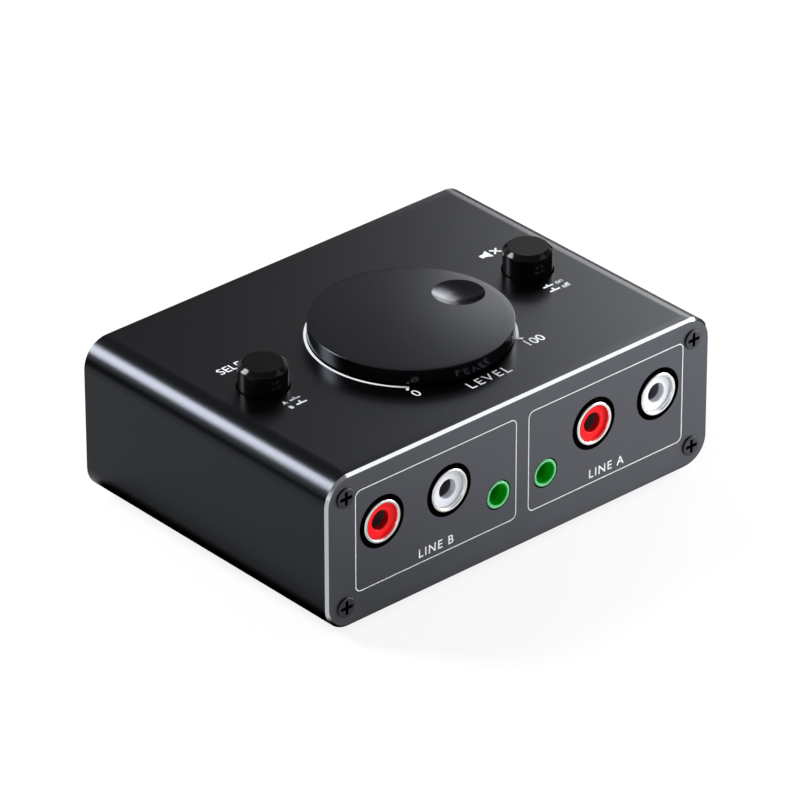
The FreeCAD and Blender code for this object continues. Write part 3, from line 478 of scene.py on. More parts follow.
        # The lathe's feed leaves rings 0.08 mm apart; they are drawn 0.35 mm apart, and only as gloss. At a
        # scale of 1 the wave texture repeats every 0.314 of a metre.
        tree, coordinates, output = new_finish("turned_black_anodised_top")
        centred = add_node(
            tree, "Mapping", {"vector_type": "POINT", "Location": -KNOB_AXIS}, {"Vector": coordinates})
        rings = add_node(
            tree, "TexWave",
            {"wave_type": "RINGS", "rings_direction": "Z", "Scale": 0.314 / (0.35 * MM), "Distortion": 0.0},
            {"Vector": centred.outputs[0]})
        normals = grain_of(tree, coordinates, 0.3, 0.0003)[1]
        shader = add_node(tree, "BsdfPrincipled", {"Metallic": 1.0}, {
            "Base Color": mottled(tree, coordinates, tint, 0.04, 5 * MM),
            "Roughness": spread_of(tree, rings.outputs["Fac"], 0.19, 0.205),
            "Normal": normals,
        })
        tree.links.new(shader.outputs["BSDF"], output.inputs["Surface"])
        # The flank and its upper edge are cut last with a polished tool: the same black, but near a mirror.
        make_finish("polished_black_anodised", tint, 1.0, (0.14, 0.17), 0.5, 0.0004)
        # The dimple is milled with a ball and only brushed over, so the lamps lie in it with soft borders.
        make_finish("milled_black_anodised", tint, 1.0, (0.23, 0.25), 0.4, 0.0003)

    def ink_finish(self, name, tint):
        """Screen print: flat, slightly chalky white with the mesh of the screen just in it."""
        # A screen of 0.1 mm mesh leaves pinholes, drawn here at 0.25 mm and faint.
        tree, coordinates, output = new_finish(name)
        holes = add_node(tree, "TexVoronoi", {"Scale": 1 / (0.25 * MM)}, {"Vector": coordinates})
        faded = tuple(c * 0.93 for c in tint[:3]) + (1.0,)
        mix = add_node(tree, "Mix", {"data_type": "RGBA", 6: tint, 7: faded}, {0: holes.outputs["Distance"]})
        shader = add_node(
            tree, "BsdfPrincipled", {"Metallic": 0.0, "Roughness": 0.55, "IOR": 1.5},
            {"Base Color": mix.outputs[2]})
        tree.links.new(shader.outputs["BSDF"], output.inputs["Surface"])

    def give_cad_nodes(self):
        """Gives each CAD node a finish by what it is."""
        finishes = (
            ("case_sleeve", "black_anodised_extrusion"), ("panel_screws", "blackened_steel"),
            ("_panel", "blasted_anodised_sheet"), ("foot_", "moulded_rubber"),
            ("main_board", "lacquered_glass_epoxy"), ("_shell", "bright_nickel"),
            ("red_socket_insulator", "red_moulded_abs"), ("white_socket_insulator", "white_moulded_abs"),
            ("_socket_contact", "phosphor_bronze"), ("_jack_contacts", "phosphor_bronze"),
            ("_jack_body", "green_moulded_abs"), ("_button", "gloss_black_abs"),
            ("_plunger", "grey_acetal"), ("_wiper", "grey_acetal"), ("_spring", "drawn_spring_wire"),
            ("_switch_pins", "tinned_copper"), ("_terminals", "tinned_copper"),
            ("_switch_base", "brown_paper_laminate"), ("_pot_base", "brown_paper_laminate"),
            ("_bushing", "zinc_plated_steel"), ("_shaft", "zinc_plated_steel"),
            ("_housing", "black_filled_nylon"), ("level_knob", "turned_black_anodised_top"),
        )
        for name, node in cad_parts.items():
            finish = next((finish for word, finish in finishes if word in name), None)
            if finish is None:
                raise RuntimeError("no finish is named for the CAD node " + name)
            node.data.materials.clear()
            node.data.materials.append(bpy.data.materials[finish])


# Pieces.

class SELECTOR_OT_panels(bpy.types.Operator):
    """Model the two end panels with their bright chamfer and openings"""
    bl_idname = "selector.panels"
    bl_label = "End panels"
    SCREW_INSET = 4.3 * MM
    SCREW_HOLE = 3.1 * MM

    def execute(self, context):
        for side, sockets, jacks in (
            ("front", FRONT_SOCKETS, JACKS[:2]),
            ("rear", REAR_SOCKETS, JACKS[2:]),
        ):
            self.panel(context.scene.selector_sizes, side, sockets, jacks)
        return {"FINISHED"}

    def panel(self, sizes, side, sockets, jacks):
        low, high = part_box(side + "_panel")
        outer = low.y if side == "front" else high.y
        panel = box_piece(side + "_plate", low, high)
        # The edges along y take the corner radius of the extrusion, the rim of the outer face the chamfer.
        pick("EDGE", lambda edge: abs(edge.verts[0].co.y - edge.verts[1].co.y) > TOUCH)
        bpy.ops.mesh.bevel(offset=sizes.corner_radius, segments=20, affect="EDGES")
        pick("EDGE", lambda edge: all(abs(v.co.y - outer) < TOUCH for v in edge.verts))
        bpy.ops.mesh.bevel(offset=sizes.panel_chamfer, segments=1, affect="EDGES")
        close_mesh()
        depth = high.y - low.y + 2 * PAST
        for names, diameter in ((sockets, sizes.socket_hole), (jacks, sizes.jack_hole)):
            for name in names:
                self.drill(panel, socket_axis(name), low.y - PAST, depth, diameter)
        for x in (low.x + self.SCREW_INSET, high.x - self.SCREW_INSET):
            for z in (low.z + self.SCREW_INSET, high.z - self.SCREW_INSET):
                self.drill(panel, Vector((x, 0, z)), low.y - PAST, depth, self.SCREW_HOLE)
        paint = [
            "blasted_anodised_sheet", "diamond_cut_aluminium", "black_anodised_extrusion", "hole_wall_painted_shade"]
        paint_faces(panel, paint, 1, lambda face: 0.5 < abs(face.normal.y) < 0.9)
        # Index 3, the walls of the openings, takes the painted shade.
        paint_faces(panel, paint, 3, lambda face: abs(face.normal.y) < 0.4)
        paint_faces(panel, paint, 2, lambda face: self.on_rim(face, low, high, sizes.corner_radius))
        complete(panel, "case", paint, [side + "_panel"], angle=20.0)

    def drill(self, panel, axis, start, depth, diameter):
        cutter = turned_piece("drill", [(diameter / 2, 0.0), (diameter / 2, depth)], FINE)
        combine(panel, set_down(cutter, (axis.x, start + depth, axis.z), "front"), "DIFFERENCE")

    def on_rim(self, face, low, high, radius):
        """True for the flank of the plate, which continues the extrusion."""
        if abs(face.normal.y) > 0.4:
            return False
        spot = face.calc_center_median()
        across = max(abs(spot.x) - (high.x - radius), 0.0)
        up = max(abs(spot.z - (low.z + high.z) / 2) - ((high.z - low.z) / 2 - radius), 0.0)
        return math.hypot(across, up) > radius - 0.3 * MM


def socket_axis(name):
    """Where the axis of a socket or jack is, across and up. A jack's lies 3.5 mm over its foot."""
    if name in JACKS:
        low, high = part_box(name + "_body")
        return Vector(((low.x + high.x) / 2, 0.0, low.z + JACK_RISE))
    low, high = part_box(name + "_insulator")
    return Vector(((low.x + high.x) / 2, 0.0, (low.z + high.z) / 2))


def panel_place(name):
    """The middle of a socket on the outer face of its panel, and the way it faces."""
    spot = socket_axis(name)
    rear = name.startswith("out_")
    return Vector((spot.x, PANEL_FACE if rear else -PANEL_FACE, spot.z)), "rear" if rear else "front"


class SELECTOR_OT_screws(bpy.types.Operator):
    """Model one cross-recessed panel screw and copy it to the eight corners"""
    bl_idname = "selector.screws"
    bl_label = "Panel screws"
    HEAD = 1.9 * MM
    SHANK = 1.4 * MM
    TIP = 1.05 * MM
    LONG = 8.0 * MM
    EDGE = 0.12 * MM
    RECESS = 0.75 * MM

    def execute(self, context):
        sizes = context.scene.selector_sizes
        low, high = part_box("front_panel_screws")
        head = -PANEL_FACE - low.y
        radius, edge = self.HEAD, self.EDGE
        screw = turned_piece("panel_screw", [
            (self.TIP, -self.LONG), (self.SHANK, 0.4 * MM - self.LONG), (self.SHANK, 0.0), (radius, 0.0),
            *rounding(radius - edge, head - edge, edge, 0, 90, 3),
        ], 48)
        for turn in (0, 90):
            arm = box_piece(
                "recess", (-sizes.recess_span / 2, -sizes.recess_arm / 2, -self.RECESS),
                (sizes.recess_span / 2, sizes.recess_arm / 2, head + 0.2 * MM))
            pick("FACE", lambda face: face.normal.z < -0.9)
            bpy.ops.transform.resize(value=(0.6, 0.7, 1.0))
            close_mesh()
            arm.rotation_euler = (0, 0, math.radians(turn))
            combine(screw, arm, "DIFFERENCE")
        finishes = ["blackened_steel", "blackened_steel_painted_shade"]
        # Index 1, below the face of the head, is painted shade: the flank, the cross recess and the shank.
        paint_faces(screw, finishes, 1, lambda face: face.calc_center_median().z < head - edge - 0.02 * MM)
        corners = [
            (side, across, up) for side in ("front", "rear") for across in ("left", "right")
            for up in ("low", "high")]
        for side, across, up in corners:
            x = low.x + radius if across == "left" else high.x - radius
            z = low.z + radius if up == "low" else high.z - radius
            copy = another(screw, "%s_screw_%s_%s" % (side, across, up))
            set_down(copy, (x, -PANEL_FACE if side == "front" else PANEL_FACE, z), side)
            complete(copy, "case", finishes, [side + "_panel_screws"])
        bpy.data.objects.remove(screw)
        return {"FINISHED"}


class SELECTOR_OT_phono_sockets(bpy.types.Operator):
    """Model the nickel shell and the moulded insulator of a phono socket and copy them to the six places"""
    bl_idname = "selector.phono_sockets"
    bl_label = "Phono sockets"
    # From the panel's outer face, outwards: the shell's lip and end, the insulator's face and its tail's end.
    LIP, END, FACE, TAIL_END = 0.3 * MM, -9.0 * MM, -0.4 * MM, -18.0 * MM
    OUTSIDE, INSIDE = 4.14 * MM, 3.5 * MM

    def execute(self, context):
        sizes = context.scene.selector_sizes
        shell = self.shell(sizes)
        insulator = self.insulator(sizes)
        for name in FRONT_SOCKETS + REAR_SOCKETS:
            spot, facing = panel_place(name)
            copy = set_down(another(shell, name + "_lip"), spot, facing)
            complete(copy, "case", ["bright_nickel"], [name + "_shell"])
            tint = "red" if "red" in name else "white"
            copy = set_down(another(insulator, name + "_face"), spot, facing)
            # The red mouth takes the red's painted shade, and the white mouth stays plain white.
            mouth = "red_moulded_painted_shade" if tint == "red" else "white_moulded_abs"
            finishes = [tint + "_moulded_abs", "tinned_bore", mouth]
            complete(copy, "case", finishes, [name + "_insulator"])
        bpy.data.objects.remove(shell)
        bpy.data.objects.remove(insulator)
        return {"FINISHED"}

    def shell(self, sizes):
        """A drawn cup with a rolled lip, and the earth tab that goes down to the board."""
        bend = sizes.shell_lip
        shell = turned_piece("phono_shell", [
            (self.OUTSIDE, self.END),
            *rounding(self.OUTSIDE - bend, self.LIP - bend, bend, 0, 90, 6),
            *rounding(self.INSIDE + bend, self.LIP - bend, bend, 90, 180, 6),
            (self.INSIDE, self.END),
        ], FINE, ring=True)
        tab = box_piece("tab", (-1.5 * MM, -12.2 * MM, self.END), (1.5 * MM, -3.7 * MM, -8.5 * MM))
        # The two edges at the tab's foot that run through its thickness.
        pick("EDGE", lambda edge: abs(edge.verts[0].co.z - edge.verts[1].co.z) > TOUCH
             and edge.verts[0].co.y < -12.0 * MM)
        bpy.ops.mesh.bevel(offset=0.5 * MM, segments=3, affect="EDGES")
        close_mesh()
        return combine(shell, tab, "UNION")

    def insulator(self, sizes):
        """A disc with the pin bore, a square tail behind it, and the tinned contact that lines the bore."""
        face = self.FACE
        disc = turned_piece("phono_insulator", [
            (3.48 * MM, -9.5 * MM), (3.48 * MM, face - 0.08 * MM), (3.4 * MM, face)], FINE)
        tail = box_piece("tail", (-3.2 * MM, -3.2 * MM, self.TAIL_END), (3.2 * MM, 3.2 * MM, self.END))
        close_mesh()
        combine(disc, tail, "UNION")
        mouth = sizes.pin_bore / 2
        wide, step = mouth + 0.3 * MM, face - 1.3 * MM
        bore = turned_piece("bore", [
            (wide, self.TAIL_END - 0.5 * MM), (wide, step), (mouth, step),
            (mouth, face - 0.1 * MM), (wide, face + 0.2 * MM)], FINE)
        combine(disc, bore, "DIFFERENCE")
        # Index 1 is the lining, the walls of the bore behind its coloured mouth, and index 2 the mouth, which
        # for the red sockets takes painted shade.
        work_on(disc)
        bpy.ops.object.mode_set(mode="EDIT")
        pick("FACE", lambda part: max(math.hypot(v.co.x, v.co.y) for v in part.verts) < wide + 0.05 * MM)
        mesh = bmesh.from_edit_mesh(disc.data)
        for part in mesh.faces:
            if part.select and part.calc_center_median().z < face - 0.2 * MM:
                part.material_index = 1 if part.calc_center_median().z < face - 1.25 * MM else 2
        bmesh.update_edit_mesh(disc.data)
        close_mesh()
        return disc


class SELECTOR_OT_jacks(bpy.types.Operator):
    """Model one 3.5 mm jack body and copy it to its three places"""
    bl_idname = "selector.jacks"
    bl_label = "3.5 mm jacks"

    def execute(self, context):
        jack = box_piece("jack", (-3.3 * MM, -JACK_RISE, -15.4 * MM), (3.3 * MM, 3.1 * MM, -2.2 * MM))
        bpy.ops.mesh.bevel(offset=0.25 * MM, segments=2, affect="EDGES")
        close_mesh()
        nose = turned_piece("nose", [
            (2.625 * MM, -3.0 * MM), *rounding(2.505 * MM, -0.02 * MM, 0.12 * MM, 0, 90, 4)], FINE)
        combine(jack, nose, "UNION")
        mouth = 2.1 * MM
        bore = turned_piece("bore", [
            (1.8 * MM, -14.4 * MM), (1.8 * MM, -1.4 * MM), (mouth, -1.4 * MM),
            (mouth, -0.02 * MM), (mouth + 0.2 * MM, 0.2 * MM)], FINE)
        combine(jack, bore, "DIFFERENCE")
        # Index 1, the walls of the bore, takes the green's painted shade.
        finishes = ["green_moulded_abs", "green_moulded_painted_shade"]
        paint_faces(jack, finishes, 1, lambda face: max(
            math.hypot(vert.co.x, vert.co.y) for vert in face.verts) < mouth + 0.05 * MM)
        for name in JACKS:
            spot, facing = panel_place(name)
            copy = set_down(another(jack, name + "_green"), spot, facing)
            complete(copy, "case", finishes, [name + "_body"])
        bpy.data.objects.remove(jack)
        return {"FINISHED"}


class SELECTOR_OT_knob(bpy.types.Operator):
    """Model the level knob with its hub, finger dimple and socket for the shaft"""
    bl_idname = "selector.knob"
    bl_label = "Level knob"
    HUB = 5.0 * MM
    GAP = 0.4 * MM
    SHAFT_BORE = 3.02 * MM
    BORE_FLAT = 1.52 * MM
    BORE_DEPTH = 7.0 * MM

    def execute(self, context):
        sizes = context.scene.selector_sizes
        radius = (KNOB_HIGH.x - KNOB_LOW.x) / 2
        bottom, top = KNOB_LOW.z, KNOB_HIGH.z
        under = CASE_HIGH.z + self.GAP
        edge, crown = sizes.knob_edge, sizes.knob_crown
        rim = top - crown
        rings = [radius - edge - (radius - edge) * i / 14 for i in range(14)]
        knob = turned_piece("level_disc", [
            (self.HUB, bottom), (self.HUB, under), (radius - 0.1 * MM, under), (radius, under + 0.1 * MM),
            (radius, rim - edge),
            *rounding(radius - edge, rim - edge, edge, 10, 80, 7),
            *[(ring, top - crown * (ring / (radius - edge)) ** 2) for ring in rings],
        ], 160)
        across, deep = sizes.dimple_diameter / 2, sizes.dimple_depth
        ball = (across ** 2 + deep ** 2) / (2 * deep)
        clear_selection()
        reach, turn = sizes.dimple_reach, sizes.dimple_angle
        spot = (reach * math.cos(turn), reach * math.sin(turn), top - deep + ball)
        bpy.ops.mesh.primitive_uv_sphere_add(segments=128, ring_count=96, radius=ball, location=spot)
        combine(knob, bpy.context.object, "DIFFERENCE")
        # The shaft's flat leaves 4.5 of its 6 mm, so the socket is a cylinder cut off by a plane.
        clear_selection()
        depth = self.BORE_DEPTH + 0.05 * MM
        bpy.ops.mesh.primitive_cylinder_add(
            vertices=64, radius=self.SHAFT_BORE, depth=depth, location=(0, 0, bottom + depth / 2 - 0.05 * MM))
        socket = bpy.context.object
        open_mesh()
        bpy.ops.mesh.bisect(
            plane_co=(0, self.BORE_FLAT, 0), plane_no=(0, 1, 0), use_fill=True, clear_outer=True)
        close_mesh()
        socket.rotation_euler = (0, 0, turn)
        combine(knob, socket, "DIFFERENCE")
        finishes = ["turned_black_anodised_top", "polished_black_anodised", "milled_black_anodised"]
        paint_faces(knob, finishes, 1, lambda face: not (
            face.normal.z > 0.998 and face.calc_center_median().z > rim - 0.01 * MM))
        paint_faces(knob, finishes, 2, lambda face: (
            (face.calc_center_median() - Vector(spot)).length < ball + TOUCH))
        set_down(knob, KNOB_AXIS)
        complete(knob, "knob", finishes, ["level_knob"], angle=13.0)
        return {"FINISHED"}


class SELECTOR_OT_buttons(bpy.types.Operator):
    """Model one push-button cap and copy it to both keys"""
    bl_idname = "selector.buttons"
    bl_label = "Push buttons"
    STEM = 3.24 * MM
    STEM_DEPTH = 5.02 * MM

    def execute(self, context):
        sizes = context.scene.selector_sizes
        low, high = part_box("select_button")
        radius = (high.x - low.x) / 2
        chamfer = sizes.button_chamfer
        cap = turned_piece("cap", [
            (radius - 0.15 * MM, low.z), (radius, low.z + 0.15 * MM),
            (radius, high.z - chamfer - 0.08 * MM), (radius - 0.04 * MM, high.z - chamfer + 0.02 * MM),
            (radius - chamfer + 0.04 * MM, high.z - 0.06 * MM), (radius - chamfer - 0.06 * MM, high.z),
        ], FINE)
        half = self.STEM / 2
        socket = box_piece("socket", (-half, -half, low.z - PAST), (half, half, low.z + self.STEM_DEPTH))
        close_mesh()
        combine(cap, socket, "DIFFERENCE")
        finishes = ["gloss_black_abs", "satin_black_abs"]
        paint_faces(cap, finishes, 1, lambda face: face.calc_center_median().z > high.z - TOUCH)
        for name, body in BUTTONS:
            copy = set_down(another(cap, name + "_cap"), over(name + "_button"))
            complete(copy, body, finishes, [name + "_button"], angle=18.0)
        bpy.data.objects.remove(cap)
        return {"FINISHED"}


class SELECTOR_OT_springs(bpy.types.Operator):
    """Wind one return spring and copy it under both keys"""
    bl_idname = "selector.springs"
    bl_label = "Return springs"

    def execute(self, context):
        sizes = context.scene.selector_sizes
        low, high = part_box("select_spring")
        half = sizes.spring_wire / 2
        clear_selection()
        bpy.ops.mesh.primitive_circle_add(
            vertices=12, radius=half, location=((high.x - low.x) / 2 - half, 0, low.z + half),
            rotation=(math.radians(90), 0, 0))
        coil = bpy.context.object
        settle()
        steps = 24 * sizes.spring_turns
        apply_modifier(
            coil, "winding", "SCREW", angle=math.radians(360) * sizes.spring_turns,
            screw_offset=high.z - low.z - 2 * half, steps=steps, render_steps=steps)
        open_mesh()
        bpy.ops.mesh.fill_holes(sides=0)
        mend()
        for name, _ in BUTTONS:
            spot = over(name + "_spring")
            copy = set_down(another(coil, name + "_return_spring"), spot)
            complete(copy, "case", ["drawn_spring_wire"], [name + "_spring"])
            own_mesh(copy)
        bpy.data.objects.remove(coil)
        return {"FINISHED"}


class SELECTOR_OT_feet(bpy.types.Operator):
    """Model one rubber foot with its hollow sole and copy it to the four corners"""
    bl_idname = "selector.feet"
    bl_label = "Rubber feet"

    def execute(self, context):
        low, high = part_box(FEET[0])
        radius, edge, hollow = (high.x - low.x) / 2, 0.35 * MM, 0.35 * MM
        foot = turned_piece("foot", [
            (radius, high.z), *rounding(radius - edge, edge, edge, 0, -90, 4),
            (radius - 1.2 * MM, 0.0), (radius - 1.5 * MM, 0.2 * MM), (radius - 3.0 * MM, hollow)], 64)
        for name in FEET:
            copy = set_down(another(foot, name + "_pad"), over(name))
            complete(copy, "case", ["moulded_rubber"], [name])
        bpy.data.objects.remove(foot)
        return {"FINISHED"}


# Print. Flat forms are drawn as a reader sees them: x right, y up, then laid on their face.

def give_ink(piece, name, spot, facing, finish="white_screen_print"):
    """Gives a flat form the thickness of the ink and lays it on its face of the case."""
    work_on(piece)
    piece.name = name
    open_mesh()
    mend()
    if sum(face.normal.z * face.area for face in piece.data.polygons) < 0:
        piece.data.flip_normals()
    apply_modifier(piece, "ink", "SOLIDIFY", thickness=PRINT_DEPTH, offset=1.0)
    set_down(piece, spot, facing)
    complete(piece, "case", [finish])


def word(body, name, capital, start, facing="up", align="LEFT", spacing=1.0, swell=0.0):
    """Lettering of a given capital height whose baseline starts at a place."""
    clear_selection()
    bpy.ops.object.text_add(location=(0, 0, 0))
    letters = bpy.context.object.data
    letters.body = body
    letters.align_x = align
    # The font's capitals are 0.73 of its size.
    letters.size = capital / 0.73
    letters.space_character = spacing
    # Small print swells: each side of its strokes then goes out by a share of the capital height.
    letters.offset = swell * capital
    letters.resolution_u = 6
    bpy.ops.object.convert(target="MESH")
    give_ink(bpy.context.object, name, start, facing)


def strokes(bars):
    """Flat bars, each given by its two ends and its width, as one form."""
    return join([
        flat_piece(((x0 + x1) / 2, (y0 + y1) / 2, 0), math.hypot(x1 - x0, y1 - y0), width,
                   (0, 0, math.atan2(y1 - y0, x1 - x0)))
        for (x0, y0), (x1, y1), width in bars
    ])


class SELECTOR_OT_panel_print(bpy.types.Operator):
    """Print the two frames and line names on the front panel"""
    bl_idname = "selector.panel_print"
    bl_label = "Panel print"
    FRAMES = (("a", 1.49 * MM, 38.94 * MM), ("b", -38.94 * MM, -1.3 * MM))
    FRAME_LOW, FRAME_HIGH = 6.15 * MM, 26.6 * MM
    WORDS = (("LINE B", "label_line_b", -24.4 * MM), ("LINE A", "label_line_a", 16.1 * MM))
    BASELINE = 7.3 * MM
    CAPITALS = 1.8 * MM

    def execute(self, context):
        sizes = context.scene.selector_sizes
        base = CASE_LOW.z
        low, high = self.FRAME_LOW, self.FRAME_HIGH
        for name, left, right in self.FRAMES:
            outline = flat_piece(((left + right) / 2, (low + high) / 2, 0), right - left, high - low)
            open_mesh()
            bpy.ops.mesh.bevel(offset=sizes.frame_corner, segments=8, affect="VERTICES")
            bpy.ops.mesh.select_mode(type="FACE")
            bpy.ops.mesh.select_all(action="SELECT")
            bpy.ops.mesh.inset(thickness=sizes.frame_line)
            bpy.ops.mesh.delete(type="FACE")
            close_mesh()
            give_ink(outline, "frame_line_" + name, (0, -PANEL_FACE, base), "front", "thin_screen_print")
        for body, name, across in self.WORDS:
            spot = (across, -PANEL_FACE, base + self.BASELINE)
            word(body, name, self.CAPITALS, spot, "front", spacing=1.2, swell=0.01)
        return {"FINISHED"}


class SELECTOR_OT_top_print(bpy.types.Operator):
    """Print the scale round the knob, its digits and the marks of the two keys on the top"""
    bl_idname = "selector.top_print"
    bl_label = "Top print"
    # Each word, with its capitals and where it starts, across the top and behind the front panel's face.
    WORDS = (
        ("0", "digit_low", 2.2, -14.0, 12.0, {"swell": -0.008}),
        ("100", "digit_high", 2.2, 12.4, 12.0, {"swell": 0.012}),
        ("LEVEL", "label_level", 2.25, -0.15, 7.6, {"align": "CENTER", "spacing": 1.3}),
        ("SELECT", "label_select", 2.05, -34.5, 40.4, {}),
        ("A", "mark_a", 1.0, -33.0, 25.3, {}),
        ("B", "mark_b", 1.0, -33.0, 23.4, {}),
        ("on", "mark_on", 1.25, 31.6, 25.3, {"swell": 0.012}),
        ("off", "mark_off", 1.25, 31.6, 23.4, {"swell": 0.012}),
    )
    # The scale's arc in degrees, and where its high and low end are.
    SWEEP, HIGH_END, LOW_END = 273.0, -46.5, 226.5
    TICK = 0.85 * MM
    BAR = 0.37 * MM
    CROSS = 0.34 * MM

    def execute(self, context):
        sizes = context.scene.selector_sizes
        top = CASE_HIGH.z
        front = -PANEL_FACE
        self.scale(sizes, top)
        for body, name, capital, across, along, more in self.WORDS:
            word(body, name, capital * MM, (across * MM, front + along * MM, top), **more)
        for name, across in (("select", -30.2 * MM), ("mute", 29.9 * MM)):
            self.latch_marks(name, across, front, top)
        self.muted_speaker((28.0 * MM, front + 40.4 * MM, top))
        return {"FINISHED"}

    def scale(self, sizes, top):
        """An arc round the rear of the knob, with a tick across each end."""
        radius, stroke = sizes.scale_radius, sizes.scale_stroke
        arc = flat_piece((radius, 0, 0), stroke, stroke)
        bpy.ops.object.mode_set(mode="EDIT")
        pick("VERT", lambda vert: vert.co.y < 0)
        bpy.ops.mesh.delete(type="VERT")
        pick("EDGE", lambda edge: True)
        bpy.ops.transform.translate(value=(0, -stroke / 2, 0))
        bpy.ops.mesh.spin(steps=137, angle=math.radians(self.SWEEP), center=(0, 0, 0), axis=(0, 0, 1))
        close_mesh()
        # The spin ran clockwise from the right-hand side, so the arc is turned to start at the low end.
        arc.rotation_euler = (0, 0, math.radians(self.LOW_END))
        settle()
        inner, outer = radius - stroke / 2, radius + stroke / 2 + self.TICK
        ticks = strokes([
            (*[(reach * math.cos(angle), reach * math.sin(angle)) for reach in (inner, outer)], stroke)
            for angle in (math.radians(self.HIGH_END), math.radians(self.LOW_END))
        ])
        give_ink(join([arc, ticks]), "level_scale", (KNOB_AXIS.x, KNOB_AXIS.y, top), "up")

    def latch_marks(self, name, across, front, top):
        """The two marks of a latching key: a bar with the key pressed down on it and one with it out."""
        for part, along, rise in (("in", 25.7 * MM, 0.62 * MM), ("out", 23.9 * MM, 0.9 * MM)):
            mark = strokes([
                ((-1.15 * MM, 0), (1.15 * MM, 0), self.BAR),
                ((0, 0), (0, rise), self.BAR),
            ])
            give_ink(mark, "%s_mark_%s" % (name, part), (across, front + along, top), "up")

    def muted_speaker(self, spot):
        """A plain crossed-out loudspeaker: a box, a cone grown from its edge, and a cross."""
        speaker = flat_piece((0.5 * MM, 1.25 * MM, 0), 1.0 * MM, 1.1 * MM)
        bpy.ops.object.mode_set(mode="EDIT")
        pick("EDGE", lambda edge: all(vert.co.x > 0.9 * MM for vert in edge.verts))
        bpy.ops.mesh.extrude_region_move(TRANSFORM_OT_translate={"value": (1.1 * MM, 0, 0)})
        bpy.ops.transform.resize(value=(1.0, 2.25, 1.0), center_override=(2.1 * MM, 1.25 * MM, 0))
        close_mesh()
        cross = strokes([
            ((2.8 * MM, 0.45 * MM), (4.4 * MM, 2.05 * MM), self.CROSS),
            ((2.8 * MM, 2.05 * MM), (4.4 * MM, 0.45 * MM), self.CROSS),
        ])
        give_ink(join([speaker, cross]), "muted_speaker_mark", spot, "up")


